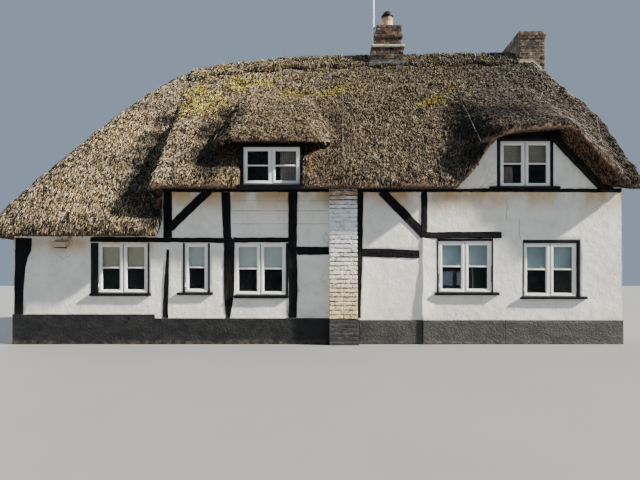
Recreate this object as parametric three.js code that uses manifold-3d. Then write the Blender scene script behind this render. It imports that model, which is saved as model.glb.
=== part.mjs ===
// A thatched, timber-framed cottage. Millimetres, +Z up, front facing -Y.
// The origin is on the underside of the ground floor, below the ridge.
import * as THREE from 'three';
import { mergeVertices } from 'three/addons/utils/BufferGeometryUtils.js';
import Module from 'manifold-3d';

const wasm = await Module();
wasm.setup();

const GAP = 0.3; // left between faces that meet
const SKY = 8000; // above every piece
const DEEP = -100; // below every piece

// Walls
const LEFT_X = -5460;
const RIGHT_X = 5390;
const FRONT_Y = -2600;
const REAR_Y = 2600;
const WALL = 240;
const PROUD = 15; // timbers stand this far out of the wall face
const TIMBER_DEPTH = 95;
const FLOOR_TOP = 150;
const UPPER_FLOOR = { bottom: 1900, top: 2050 };
const BAY_X = -2800; // the low bay ends here and the two-storey part begins
const INSIDE_X = [LEFT_X + WALL + GAP, RIGHT_X - WALL - GAP];
const INSIDE_Y = REAR_Y - WALL - GAP;

// Plinth
const PLINTH_PROUD = 20;
const PLINTH_TOP = { bay: 532, middle: 462, right: 430 };
const PLINTH_STEP_X = -2947;

// Brick pier
const PIER = { left: 168, right: 650, proud: 150, foot: 454, footRight: 684 };

// Thatch
const EAVE_Y = 3000; // from the ridge line to the lip of the eaves
const VERGE_X = 5550;
const BAY_LIP_X = -5860;
const LIP = { main: 2690, bay: 1880 };
const EDGE = 140; // depth of the cut edge
const EDGE_ROLL = 80; // rounding of its upper corner
const THATCH_DROP = 440; // thickness, measured straight down
const SOFFIT_RISE = 0.28; // the cut underside of the eaves climbs towards the wall
const BAY_TIE_TOP = 2080; // under this the front wall runs on from the bay to the two-storey part
const CHEEK_X = -2930; // left end of the two-storey thatch
const RIDGE = { height: 6272, rise: 0.022, soft: 300 };
const RIDGE_FALL = { drop: 240, from: -500, to: -2900 };
const BAY_RIDGE = 5960;
const BAY_HIP = { slope: 1.5, soft: 420, bulge: 230 };
const HALF_HIP = { height: 4560, slope: 2.6, soft: 420 };
const BAY_CORNER = 450; // plan radius of the bay's eaves corners
const VERGE_CORNER = 90;
const ARCH_REACH = 2050; // how far up the slope the arched eave fades out
const ARCH_SWEEP = { from: 4170, over: 80, ratio: 0.9 }; // its right side narrows towards the wall
const ARCH = [[2330, 0], [2620, 300], [2785, 550], [2900, 725], [3010, 840], [3150, 905],
  [3330, 940], [4030, 1010], [4250, 1005], [4380, 970], [4520, 850], [4640, 680], [5000, 310], [5290, 0]];

// Window hood in the thatch
const NOTCH = { left: -1422, right: -318, back: -1900, foot: 2821 };
const HOOD = { left: -1960, right: 250, lipY: -2830, lipZ: 3530, edge: 110, slope: 0.8, back: -850 };
const HOOD_END_Y = -2330;
const HOOD_FLAT = 560; // half length of the straight part of its lip
const HOOD_INNER_Y = -2500;

// Ridge cap
const CAP = { left: -2960, right: 4490, half: 390, wave: 45, waves: 9, thick: 75 };

// Chimneys
const RIDGE_STACK = { x: [1285, 1845], y: [-280, 280], top: 6925 };
const RIDGE_STACK_BASE = { x: [1160, 1880], top: 6396, out: 40 };
const STACK_BAND = { bottom: 6396, top: 6453, out: 68 };
const STACK_CORBEL = { bottom: 6640, top: 6700, out: 28 };
const POT = { radius: 150, neck: 120, bore: 95, rim: 14, height: 275 };
const COWL = { radius: 138, height: 180, stem: 45, rim: 22, inset: 20 };
const GABLE_STACK = { x: [4530, 5090], y: [-290, 690], top: 6770 };
const GABLE_CORBEL = { bottom: 6610, out: 24, lip: 6670, lipOut: 12 };
const FLUE = { half: 140, depth: 450 };
const MAST = { x: 1215, y: -250, bottom: 6480, top: 7640, radius: 19, arms: [6540, 6860], arm: 24 };

// Black timbers, each a run of [x, z, width across the run].
const TIMBERS = {
  corner_post: [[-5374, 540, 140], [-5368, 1000, 150], [-5352, 1376, 180], [-5330, 1555, 210],
    [-5292, 1690, 265], [-5287, 1890, 280]],
  rail_bay: [[-4096, 1872, 80], [-1729, 1848, 80]],
  curved_stud: [[-2759, 475, 90], [-2746, 1000, 73], [-2725, 1400, 45], [-2714, 1680, 24]],
  post_left: [[-2718, 1905, 150], [-2718, 2712, 148]],
  brace_left: [[-2672, 2072, 130], [-2320, 2420, 140], [-1975, 2745, 135]],
  post_window_left: [[-1642, 475, 57], [-1622, 900, 180], [-1619, 1823, 185], [-1656, 1912, 134],
    [-1682, 2712, 150]],
  rail_window: [[-1540, 1858, 80], [-562, 1858, 80]],
  post_middle: [[-488, 475, 130], [-480, 900, 150], [-490, 1600, 146], [-484, 2712, 150]],
  rail_middle: [[-415, 1666, 136], [164, 1666, 136]],
  post_right: [[697, 475, 35], [702, 1000, 60], [706, 1600, 90], [712, 2712, 111]],
  rail_right: [[750, 1630, 130], [1250, 1622, 148], [1768, 1606, 120]],
  brace_right: [[1100, 2725, 150], [1330, 2490, 150], [1600, 2215, 145], [1835, 1960, 140]],
  post_short: [[1858, 2003, 102], [1858, 2712, 102]],
  beam_window: [[1857, 1948, 106], [3239, 1948, 106]],
};

// Members that give way to the ones they are jointed into.
const JOINTED = {
  rail_bay: ['post_window_left'],
  curved_stud: ['rail_bay'],
  post_left: ['rail_bay'],
  brace_left: ['post_left'],
  rail_window: ['post_window_left', 'post_middle'],
  rail_middle: ['post_middle'],
  rail_right: ['post_right'],
  brace_right: ['post_short', 'beam_window'],
  post_short: ['beam_window'],
};

// The plate under the eaves, thick over the left windows and thin below the arch.
const PLATE = { left: -2793, right: 5375, bottom: 2716, top: 2820, thinTop: 2769, step: 2330 };

// Windows: x and z are the outside of the white frame, lining the black boards at its left, right and head,
// and sill the left end, right end and depth of the black sill.
const FRAME = { bar: 62, mullion: 118, setBack: 12 };
const LINING = { proud: 8, back: 75 };
const SILL_PROUD = 60;
const GLASS = 6;
const WINDOWS = {
  window_a: { x: [-3964, -3071], z: [907, 1805], lining: [122, 24, 0], sill: [-4096, -3018, 46] },
  window_b: {
    x: [-2418, -1996], z: [918, 1805], lining: [27, 27, 0], sill: [-2543, -1916, 40], single: true,
  },
  window_c: { x: [-1525, -607], z: [873, 1805], lining: [0, 42, 0], sill: [-1526, -562.5, 54] },
  window_e: { x: [2114, 3064], z: [918, 1837], lining: [0, 0, 0], sill: [2046, 3189, 44] },
  window_f: { x: [3632, 4584], z: [844, 1805], lining: [10, 54, 54], sill: [3577, 4755, 38] },
  window_g: { x: [3214, 4116], z: [2810, 3626], lining: [54, 45, 110], sill: [3018, 4268, 40] },
};

// The window under the hood fills the notch in the thatch, from the wall top to the hood.
const HOOD_WINDOW = { y: [-2630, -2555], x: [-1363, -357], z: [2848, 3512] };

// Rear windows and door, which repeat the front's sizes.
const REAR_WINDOWS = {
  window_rear_left: { x: [-4550, -3650], z: [907, 1805], lining: [24, 24, 0], sill: [-4610, -3590, 44] },
  window_rear_middle: { x: [250, 1150], z: [907, 1805], lining: [24, 24, 0], sill: [190, 1210, 44] },
  window_rear_right: { x: [3400, 4300], z: [907, 1805], lining: [24, 24, 0], sill: [3340, 4360, 44] },
  window_rear_upper: { x: [3214, 4116], z: [2810, 3626], lining: [45, 45, 60], sill: [3018, 4268, 40] },
};
const DOOR = { x: [-1950, -1050], top: 1790, leaf: 45, setBack: 60, frame: 70 };

const LAMP = { x: [-4720, -4480], out: 120, z: [1726, 1850], tilt: 35 };

const MATERIALS = {
  render: [0xe8e4d6, 0.9, 0],
  plinth: [0x33373c, 0.85, 0],
  timber: [0x141416, 0.7, 0],
  thatch: [0x7d6a4c, 1, 0],
  brick: [0x7a5040, 0.9, 0],
  whiteBrick: [0xd9d4c6, 0.85, 0],
  frame: [0xf0f0ec, 0.5, 0],
  glass: [0x4a5a60, 0.1, 0],
  floor: [0x8a8378, 0.9, 0],
  boards: [0x8b6b48, 0.8, 0],
  clay: [0xb98a6c, 0.8, 0],
  cowl: [0x4a3a30, 0.7, 0],
  lamp: [0xb9a98c, 0.6, 0],
  steel: [0x9a9c9e, 0.4, 0.8],
};

const cottage = new THREE.Group();

function addPiece(name, solid, finish) {
  const [color, roughness, metalness] = MATERIALS[finish];
  const material = new THREE.MeshStandardMaterial({ color, roughness, metalness });
  const mesh = new THREE.Mesh(geometryOf(solid), material);
  mesh.name = name;
  cottage.add(mesh);
}

function solidOf(geometry) {
  geometry.deleteAttribute('normal');
  geometry.deleteAttribute('uv');
  const merged = mergeVertices(geometry, 1e-3);
  return new wasm.Manifold(new wasm.Mesh({
    numProp: 3,
    vertProperties: merged.attributes.position.array,
    triVerts: merged.index.array,
  }));
}

function geometryOf(solid) {
  const { vertProperties, triVerts, numProp } = solid.getMesh();
  const geometry = new THREE.BufferGeometry();
  geometry.setAttribute('position', new THREE.BufferAttribute(vertProperties, numProp));
  geometry.setIndex(new THREE.BufferAttribute(triVerts, 1));
  geometry.computeVertexNormals();
  return geometry;
}

function box([x0, x1], [y0, y1], [z0, z1]) {
  const geometry = new THREE.BoxGeometry(x1 - x0, y1 - y0, z1 - z0);
  geometry.translate((x0 + x1) / 2, (y0 + y1) / 2, (z0 + z1) / 2);
  return solidOf(geometry);
}

// An upright board: an outline of [x, z] points, between two depths.
function board(outline, [y0, y1]) {
  const shape = new THREE.Shape(outline.map(([x, z]) => new THREE.Vector2(x, z)));
  const geometry = new THREE.ExtrudeGeometry(shape, { depth: y1 - y0, bevelEnabled: false });
  geometry.rotateX(Math.PI / 2);
  geometry.translate(0, y1, 0);
  return solidOf(geometry);
}

function turned(profile, segments) {
  const geometry = new THREE.LatheGeometry(profile.map(([r, z]) => new THREE.Vector2(r, z)), segments);
  geometry.rotateX(Math.PI / 2);
  return solidOf(geometry);
}

function grown([low, high], by) {
  return [low - by, high + by];
}

function cut(solid, ...cutters) {
  return cutters.reduce((left, cutter) => left.subtract(cutter), solid);
}

function join(...solids) {
  return solids.reduce((whole, solid) => whole.add(solid));
}

// Even steps from low to high, both ends included.
function steps(low, high, count) {
  return Array.from({ length: count + 1 }, (_, i) => low + ((high - low) * i) / count);
}

function clamp(t) {
  return Math.min(Math.max(t, 0), 1);
}

function softMin(a, b, width) {
  const overlap = Math.max(width - Math.abs(a - b), 0) / width;
  return Math.min(a, b) - (overlap * overlap * width) / 4;
}

function along(points, x) {
  const next = points.findIndex(([px]) => px > x);
  if (next <= 0) return 0;
  const [[x0, z0], [x1, z1]] = [points[next - 1], points[next]];
  return z0 + ((z1 - z0) * (x - x0)) / (x1 - x0);
}

// A closed sheet over a plan grid. place(u, v) gives a plan point, top and bottom its heights.
function sheet(us, vs, place, top, bottom) {
  const points = [];
  const faces = [];
  const count = vs.length;
  const layer = us.length * count;
  for (const height of [top, bottom]) {
    for (const u of us) {
      for (const v of vs) {
        const [x, y] = place(u, v);
        points.push(x, y, height(x, y));
      }
    }
  }
  const at = (i, j, below) => i * count + j + (below ? layer : 0);
  const quad = (a, b, c, d) => faces.push(a, b, c, a, c, d);
  for (let i = 0; i < us.length - 1; i += 1) {
    for (let j = 0; j < count - 1; j += 1) {
      quad(at(i, j), at(i + 1, j), at(i + 1, j + 1), at(i, j + 1));
      quad(at(i, j, 1), at(i, j + 1, 1), at(i + 1, j + 1, 1), at(i + 1, j, 1));
    }
    quad(at(i, 0), at(i, 0, 1), at(i + 1, 0, 1), at(i + 1, 0));
    quad(at(i, count - 1), at(i + 1, count - 1), at(i + 1, count - 1, 1), at(i, count - 1, 1));
  }
  for (let j = 0; j < count - 1; j += 1) {
    quad(at(0, j), at(0, j + 1), at(0, j + 1, 1), at(0, j, 1));
    const last = us.length - 1;
    quad(at(last, j), at(last, j, 1), at(last, j + 1, 1), at(last, j + 1));
  }
  return new wasm.Manifold(new wasm.Mesh({
    numProp: 3,
    vertProperties: new Float32Array(points),
    triVerts: new Uint32Array(faces),
  }));
}

const straight = (x, y) => [x, y];

// Roof surfaces

function ridgeHeight(x) {
  const fall = clamp((RIDGE_FALL.from - x) / (RIDGE_FALL.from - RIDGE_FALL.to));
  return RIDGE.height + RIDGE.rise * x - RIDGE_FALL.drop * fall ** 1.4;
}

// Two slopes that meet softly over the middle of the house.
function slopes(y, lip, ridge) {
  const foot = lip + EDGE;
  const rise = (ridge + RIDGE.soft / 4 - foot) / EAVE_Y;
  return softMin(foot + (EAVE_Y + y) * rise, foot + (EAVE_Y - y) * rise, RIDGE.soft);
}

// The share of the arch's rise that is left, from 1 at the lip to 0 up the slope.
function archFade(y) {
  const up = clamp((EAVE_Y - Math.abs(y)) / ARCH_REACH);
  return (1 - up) ** 2 * (1 + 1.1 * up);
}

function plainForm(x, y) {
  const hip = HALF_HIP.height + (VERGE_X - x) * HALF_HIP.slope;
  return softMin(slopes(y, LIP.main, ridgeHeight(x)), hip, HALF_HIP.soft);
}

function mainForm(x, y) {
  return plainForm(x, y) + along(ARCH, x) * archFade(y);
}

function bayForm(x, y) {
  const hip = LIP.bay + EDGE + (x - BAY_LIP_X) * BAY_HIP.slope;
  const flat = softMin(slopes(y, LIP.bay, BAY_RIDGE), hip, BAY_HIP.soft);
  const up = clamp((flat - LIP.bay - EDGE) / (BAY_RIDGE - LIP.bay - EDGE));
  return flat + BAY_HIP.bulge * 4 * up * (1 - up);
}

// How far the upper corner of the edge has rolled down, at a distance from the lip.
function roll(distance) {
  const short = Math.max(EDGE_ROLL - distance, 0);
  return EDGE_ROLL - Math.sqrt(EDGE_ROLL ** 2 - short ** 2);
}

function mainTop(x, y) {
  const inwards = Math.min(EAVE_Y - Math.abs(y), VERGE_X - x, x - CHEEK_X);
  return mainForm(x, y) - roll(Math.max(inwards, 0));
}

function bayTop(x, y) {
  const cornerX = Math.max(BAY_LIP_X + BAY_CORNER - x, 0);
  const cornerY = Math.max(Math.abs(y) - EAVE_Y + BAY_CORNER, 0);
  const inwards = BAY_CORNER - Math.hypot(cornerX, cornerY);
  return bayForm(x, y) - roll(Math.max(inwards, 0));
}

function soffit(y) {
  return (EAVE_Y - Math.abs(y)) * SOFFIT_RISE;
}

function mainUnder(x, y) {
  const back = Math.min(EAVE_Y - Math.abs(y), EAVE_Y + FRONT_Y);
  const sweep = back * ARCH_SWEEP.ratio * clamp((x - ARCH_SWEEP.from) / ARCH_SWEEP.over);
  const arch = along(ARCH, x + sweep);
  return Math.max(plainForm(x, y) + arch * archFade(y) - THATCH_DROP, LIP.main + arch + soffit(y));
}

function bayUnder(x, y) {
  return Math.max(bayForm(x, y) - THATCH_DROP, LIP.bay);
}

// Plan lines of the thatch: close together at the edges and where the form turns.
const EDGE_LINES = [0, 22, 80];
const FRONT_LINES = [
  ...EDGE_LINES.map((d) => d - EAVE_Y),
  -2700, FRONT_Y, FRONT_Y + WALL, ...steps(-2050, -300, 5), -140, 0];
const MAIN_LINES = [
  CHEEK_X, CHEEK_X + 30, BAY_X, BAY_X + GAP, -2350, -1850, NOTCH.left, NOTCH.right,
  500, 1500, ...ARCH.map(([x]) => x), ARCH_SWEEP.from, 4820, 5150, RIGHT_X, 5470, 5525, VERGE_X,
].sort((a, b) => a - b);
const BAY_LINES = [
  ...EDGE_LINES.map((d) => BAY_LIP_X + d), -5560, LEFT_X, LEFT_X + WALL, ...steps(-4900, -3100, 6), BAY_X];
const BOTH_LINES = [...FRONT_LINES, ...FRONT_LINES.slice(0, -1).reverse().map((y) => -y)];
const rearLines = FRONT_LINES.map((y) => -y).reverse();

// Everything above and below the plan of the whole roof, with its rounded corners.
function roofPlan() {
  const plan = new THREE.Shape();
  const [left, right] = [BAY_LIP_X + BAY_CORNER, VERGE_X - VERGE_CORNER];
  const quarter = Math.PI / 2;
  plan.moveTo(left, -EAVE_Y);
  plan.lineTo(right, -EAVE_Y);
  plan.absarc(right, VERGE_CORNER - EAVE_Y, VERGE_CORNER, -quarter, 0, false);
  plan.absarc(right, EAVE_Y - VERGE_CORNER, VERGE_CORNER, 0, quarter, false);
  plan.absarc(left, EAVE_Y - BAY_CORNER, BAY_CORNER, quarter, 2 * quarter, false);
  plan.absarc(left, BAY_CORNER - EAVE_Y, BAY_CORNER, 2 * quarter, 3 * quarter, false);
  return solidOf(new THREE.ExtrudeGeometry(plan, { depth: SKY, bevelEnabled: false, curveSegments: 6 }));
}

function mainBottom(x, y) {
  return x < BAY_X + GAP / 2 ? bayTop(x, y) + GAP : mainUnder(x, y);
}

// Everything below a roof surface, for trimming walls and stacks to it.
const deep = () => DEEP;
const belowMain = sheet(MAIN_LINES.filter((x) => x > BAY_X), BOTH_LINES, straight,
  (x, y) => mainUnder(x, y) - GAP, deep);
const belowBay = sheet([...BAY_LINES.slice(0, -1), BAY_X - GAP], BOTH_LINES, straight,
  (x, y) => bayUnder(x, y) - GAP, deep);
const belowRoof = join(belowMain, belowBay,
  box(grown([BAY_X, BAY_X], 1), [-EAVE_Y, EAVE_Y], [DEEP, BAY_TIE_TOP]));

const notch = box([NOTCH.left, NOTCH.right], [-EAVE_Y - 100, NOTCH.back], [NOTCH.foot, SKY]);
const ridgeStackHole = box(grown(RIDGE_STACK_BASE.x, GAP), grown(RIDGE_STACK.y, RIDGE_STACK_BASE.out + GAP),
  [DEEP, SKY]);
const gableStackHole = box(grown(GABLE_STACK.x, GAP), grown(GABLE_STACK.y, GAP), [DEEP, SKY]);

function slopeThatch(yLines) {
  const slab = sheet(MAIN_LINES, yLines, straight, mainTop, mainBottom);
  return cut(slab.intersect(roofPlan()), ridgeStackHole, gableStackHole);
}

function addThatch() {
  const front = slopeThatch([...FRONT_LINES.slice(0, -1), -GAP / 2]);
  const rear = slopeThatch([GAP / 2, ...rearLines.slice(1)]);
  addPiece('thatch_front', cut(front, notch), 'thatch');
  addPiece('thatch_rear', rear, 'thatch');
  const bay = sheet(BAY_LINES, BOTH_LINES, straight, bayTop, bayUnder);
  addPiece('thatch_bay', bay.intersect(roofPlan()), 'thatch');
}

// Front line of the hood in plan: straight over the window, swept back at its ends.
function hoodLip(x) {
  const middle = (HOOD.left + HOOD.right) / 2;
  const half = (HOOD.right - HOOD.left) / 2;
  const past = clamp((Math.abs(x - middle) - HOOD_FLAT) / (half - HOOD_FLAT));
  return HOOD.lipY + (HOOD_END_Y - HOOD.lipY) * past ** 2;
}

function hoodTop(x, y) {
  const back = y - hoodLip(x);
  return HOOD.lipZ + HOOD.edge + back * HOOD.slope - roll(back + 20) / 2;
}

function hoodUnder(x, y) {
  const inner = Math.max(y - HOOD_INNER_Y, 0) * (HOOD.slope - SOFFIT_RISE);
  return HOOD.lipZ + (y - HOOD.lipY) * SOFFIT_RISE + inner;
}

function addHood() {
  const across = steps(HOOD.left, HOOD.right, 16);
  const rows = [0, 0.012, 0.03, 0.06, 0.165, ...steps(0.3, 1, 6)];
  const place = (x, v) => [x, hoodLip(x) + (HOOD.back - hoodLip(x)) * v];
  const whole = sheet(across, rows, place, hoodTop, hoodUnder);
  const slope = sheet(MAIN_LINES, FRONT_LINES, straight, (x, y) => mainTop(x, y) + GAP, deep);
  addPiece('window_hood', whole.subtract(slope.subtract(notch)), 'thatch');
}

function capEdge(x) {
  return CAP.half + CAP.wave * Math.sin(((x - CAP.left) / (CAP.right - CAP.left)) * CAP.waves * 2 * Math.PI);
}

function addRidgeCap() {
  const across = steps(CAP.left, CAP.right, CAP.waves * 4);
  const rows = [-1, -0.93, -0.38, 0, 0.38, 0.93, 1];
  const place = (x, v) => [x, v * capEdge(x)];
  const over = (x, y) => {
    const inwards = Math.min(capEdge(x) - Math.abs(y), x - CAP.left + 20, CAP.right - x + 20);
    return mainForm(x, y) + 20 + (CAP.thick - 20) * clamp(inwards / 30);
  };
  const cap = sheet(across, rows, place, over, (x, y) => mainForm(x, y) - 200);
  const slope = sheet(MAIN_LINES, BOTH_LINES, straight, (x, y) => mainTop(x, y) + GAP, deep);
  const bay = sheet(BAY_LINES, BOTH_LINES, straight, (x, y) => bayTop(x, y) + GAP, deep);
  const band = box(grown(RIDGE_STACK.x, STACK_BAND.out + GAP), grown(RIDGE_STACK.y, STACK_BAND.out + GAP),
    grown([STACK_BAND.bottom, STACK_BAND.top], 1 + GAP));
  addPiece('ridge_cap', cut(cap, slope, bay, ridgeStackHole, gableStackHole, band), 'thatch');
}

// Timber frame

// A tapered or bowed bar from one end to the other, each [x, z, width], measured across its run.
function bar(points, spare) {
  const centre = points.map(([x, z]) => new THREE.Vector2(x, z));
  const left = [];
  const right = [];
  points.forEach(([, , width], i) => {
    const before = centre[Math.max(i - 1, 0)];
    const after = centre[Math.min(i + 1, centre.length - 1)];
    const run = after.clone().sub(before).normalize();
    const side = new THREE.Vector2(-run.y, run.x).multiplyScalar(width / 2 + spare);
    const end = run.clone().multiplyScalar(i === 0 ? -spare : i === centre.length - 1 ? spare : 0);
    left.push(centre[i].clone().add(side).add(end));
    right.push(centre[i].clone().sub(side).add(end));
  });
  return [...right, ...left.reverse()].map(({ x, y }) => [x, y]);
}

const TIMBER_Y = [FRONT_Y - PROUD, FRONT_Y - PROUD + TIMBER_DEPTH];
const CUTTER_Y = grown(TIMBER_Y, GAP);

function plate(spare, y) {
  const bottom = PLATE.bottom - spare;
  return join(
    box([PLATE.left - spare, PLATE.step + spare], y, [bottom, PLATE.top + spare]),
    box([PLATE.left, PLATE.right + spare], y, [bottom, PLATE.thinTop + spare]));
}

const plateCutter = plate(GAP, CUTTER_Y);

const timberCutters = Object.fromEntries(
  Object.entries(TIMBERS).map(([name, points]) => [name, board(bar(points, GAP), CUTTER_Y)]));

function addTimbers() {
  for (const [name, points] of Object.entries(TIMBERS)) {
    const others = (JOINTED[name] ?? []).map((other) => timberCutters[other]);
    const whole = board(bar(points, 0), TIMBER_Y).intersect(belowRoof);
    addPiece(name, cut(whole, plateCutter, ...others), 'timber');
  }
  addPiece('wall_plate', plate(0, TIMBER_Y).intersect(belowRoof), 'timber');
}

function addWindow(name, spec, face) {
  const { x, z, lining: [left, right, head], sill, single } = spec;
  const out = face < 0 ? -1 : 1;
  const span = (near, far) => [face + out * near, face - out * far].sort((a, b) => a - b);
  const outer = [x[0] - left, x[1] + right];
  const sillZ = [z[0] - sill[2], z[0]];
  const body = box(outer, span(LINING.proud, LINING.back), [z[0] - 1, z[1] + head]);
  const recess = box(x, span(LINING.proud + 1, FRAME.setBack), z);
  const shelf = box([sill[0], sill[1]], span(SILL_PROUD, LINING.back), sillZ);
  const middle = (x[0] + x[1]) / 2;
  const lights = single
    ? [[x[0] + FRAME.bar, x[1] - FRAME.bar]]
    : [[x[0] + FRAME.bar, middle - FRAME.mullion / 2], [middle + FRAME.mullion / 2, x[1] - FRAME.bar]];
  const holes = lights.map((light) => box(light, span(200, 200), [z[0] + FRAME.bar, z[1] - FRAME.bar]));
  addPiece(name, cut(join(body, shelf), recess, ...holes).intersect(belowRoof), 'frame');
}

function windowCutter({ x, z, lining: [left, right, head], sill }, face) {
  const through = face < 0 ? [face - 300, face + WALL + 10] : [face - WALL - 10, face + 300];
  const back = face < 0 ? [face - 300, face + LINING.back + GAP] : [face - LINING.back - GAP, face + 300];
  return join(
    box([x[0] - left - GAP, x[1] + right + GAP], through, [z[0] - sill[2] - GAP, z[1] + head + GAP]),
    box([sill[0] - GAP, sill[1] + GAP], back, [z[0] - sill[2] - GAP, z[0] + GAP]));
}

function addHoodWindow() {
  const { y, x: [frameLeft, frameRight], z: [frameFoot, frameHead] } = HOOD_WINDOW;
  const x = grown([NOTCH.left, NOTCH.right], -GAP);
  const z = [NOTCH.foot + GAP, hoodUnder(0, y[0]) - GAP];
  const middle = (frameLeft + frameRight) / 2;
  const hole = (from, to) => box([from, to], grown(y, 10), grown([frameFoot, frameHead], -FRAME.bar));
  const left = hole(frameLeft + FRAME.bar, middle - FRAME.mullion / 2);
  const right = hole(middle + FRAME.mullion / 2, frameRight - FRAME.bar);
  addPiece('window_d', cut(box(x, y, z), left, right), 'frame');
  addPiece('window_d_glass', box(grown(x, -20), [y[1] + GAP, y[1] + GAP + GLASS], grown(z, -15)), 'glass');
}

function addGlass() {
  const sheetY = [FRONT_Y + WALL + GAP, FRONT_Y + WALL + GAP + GLASS];
  addPiece('glass_front', box([-4000, 4640], sheetY, [830, 1850]), 'glass');
  addPiece('glass_rear', box([-4600, 4340], sheetY.map((y) => -y).reverse(), [860, 1850]), 'glass');
  const upper = WINDOWS.window_g;
  const pane = (out) => [LINING.back + GAP, LINING.back + GAP + GLASS]
    .map((d) => out * (REAR_Y - d)).sort((a, b) => a - b);
  addPiece('window_g_glass', box(grown(upper.x, -10), pane(-1), grown(upper.z, -10)), 'glass');
  addPiece('window_rear_upper_glass', box(grown(upper.x, -10), pane(1), grown(upper.z, -10)), 'glass');
}

function addDoor() {
  const { x, top, leaf, setBack, frame } = DOOR;
  const outer = grown(x, frame);
  const faceY = REAR_Y - setBack;
  const surround = cut(
    box(outer, [faceY - 100, REAR_Y + 10], [GAP, top + frame]),
    box(x, [faceY - 200, REAR_Y + 100], [FLOOR_TOP, top]));
  addPiece('door_frame', surround, 'frame');
  addPiece('door', box(grown(x, -GAP), [faceY - leaf, faceY], [FLOOR_TOP + GAP, top - GAP]), 'boards');
}

function doorCutter() {
  const top = DOOR.top + DOOR.frame + GAP;
  return box(grown(DOOR.x, DOOR.frame + GAP), [INSIDE_Y - 100, REAR_Y + 200], [DEEP, top]);
}

function addWalls() {
  const frontCutters = Object.values(WINDOWS).map((spec) => windowCutter(spec, FRONT_Y));
  const overNotch = box(grown([NOTCH.left, NOTCH.right], GAP), grown([FRONT_Y, FRONT_Y + WALL], 10),
    [NOTCH.foot, SKY]);
  const front = box([LEFT_X, RIGHT_X], [FRONT_Y, FRONT_Y + WALL], [0, 4200]).intersect(belowRoof);
  const frontWall = cut(front, ...frontCutters, overNotch, plateCutter, ...Object.values(timberCutters));
  addPiece('front_wall', frontWall, 'render');
  const rearCutters = Object.values(REAR_WINDOWS).map((spec) => windowCutter(spec, REAR_Y));
  const rear = box([LEFT_X, RIGHT_X], [REAR_Y - WALL, REAR_Y], [0, 4200]).intersect(belowRoof);
  addPiece('rear_wall', cut(rear, ...rearCutters, doorCutter()), 'render');
  const left = box([LEFT_X, LEFT_X + WALL], [-INSIDE_Y, INSIDE_Y], [0, 3000]).intersect(belowRoof);
  addPiece('left_wall', left, 'render');
  const right = box([RIGHT_X - WALL, RIGHT_X], [-INSIDE_Y, INSIDE_Y], [0, 6500]).intersect(belowRoof);
  addPiece('right_wall', right, 'render');
}

function addFloors() {
  addPiece('ground_floor', box(INSIDE_X, [-INSIDE_Y, INSIDE_Y], [0, FLOOR_TOP]), 'floor');
  const upper = box([BAY_X + 20, INSIDE_X[1]], [-INSIDE_Y, INSIDE_Y], [UPPER_FLOOR.bottom, UPPER_FLOOR.top]);
  addPiece('upper_floor', cut(upper, ridgeStackHole, gableStackHole), 'boards');
}

function addPlinth() {
  const y = [FRONT_Y - PLINTH_PROUD, FRONT_Y - GAP];
  const end = LEFT_X - PLINTH_PROUD;
  const left = join(
    box([end, PLINTH_STEP_X], y, [0, PLINTH_TOP.bay]),
    box([PLINTH_STEP_X - 1, PIER.left - GAP], y, [0, PLINTH_TOP.middle]));
  addPiece('plinth_left', left, 'plinth');
  const right = box([PIER.footRight + GAP, RIGHT_X + PLINTH_PROUD], y, [0, PLINTH_TOP.right]);
  addPiece('plinth_right', right, 'plinth');
}

function addPier() {
  const y = [FRONT_Y - PIER.proud, FRONT_Y - GAP];
  const shaft = box([PIER.left, PIER.right], y, [0, 3000]).intersect(belowRoof);
  const foot = box([PIER.left, PIER.footRight], y, [0, PIER.foot]);
  const cutters = [plateCutter, timberCutters.post_right, timberCutters.rail_middle];
  addPiece('brick_pier', cut(join(shaft, foot), ...cutters), 'whiteBrick');
}

function addChimneys() {
  const { x, y, top } = RIDGE_STACK;
  const ridge = join(
    box(RIDGE_STACK_BASE.x, grown(y, RIDGE_STACK_BASE.out), [FLOOR_TOP + GAP, RIDGE_STACK_BASE.top]),
    box(grown(x, STACK_BAND.out), grown(y, STACK_BAND.out), [STACK_BAND.bottom - 1, STACK_BAND.top]),
    box(x, y, [STACK_BAND.top - 1, top]),
    box(grown(x, STACK_CORBEL.out), grown(y, STACK_CORBEL.out), [STACK_CORBEL.bottom, STACK_CORBEL.top]));
  addPiece('ridge_stack', ridge, 'brick');
  const gable = join(
    box(GABLE_STACK.x, GABLE_STACK.y, [FLOOR_TOP + GAP, GABLE_STACK.top]),
    box(grown(GABLE_STACK.x, GABLE_CORBEL.lipOut), grown(GABLE_STACK.y, GABLE_CORBEL.lipOut),
      [GABLE_CORBEL.bottom, GABLE_CORBEL.lip]),
    box(grown(GABLE_STACK.x, GABLE_CORBEL.out), grown(GABLE_STACK.y, GABLE_CORBEL.out),
      [GABLE_CORBEL.lip - 1, GABLE_STACK.top]));
  const centre = [(GABLE_STACK.x[0] + GABLE_STACK.x[1]) / 2, (GABLE_STACK.y[0] + GABLE_STACK.y[1]) / 2];
  const flue = box(grown([centre[0], centre[0]], FLUE.half), grown([centre[1], centre[1]], FLUE.half),
    [GABLE_STACK.top - FLUE.depth, GABLE_STACK.top + 10]);
  addPiece('gable_stack', cut(gable, flue), 'brick');
}

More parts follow.
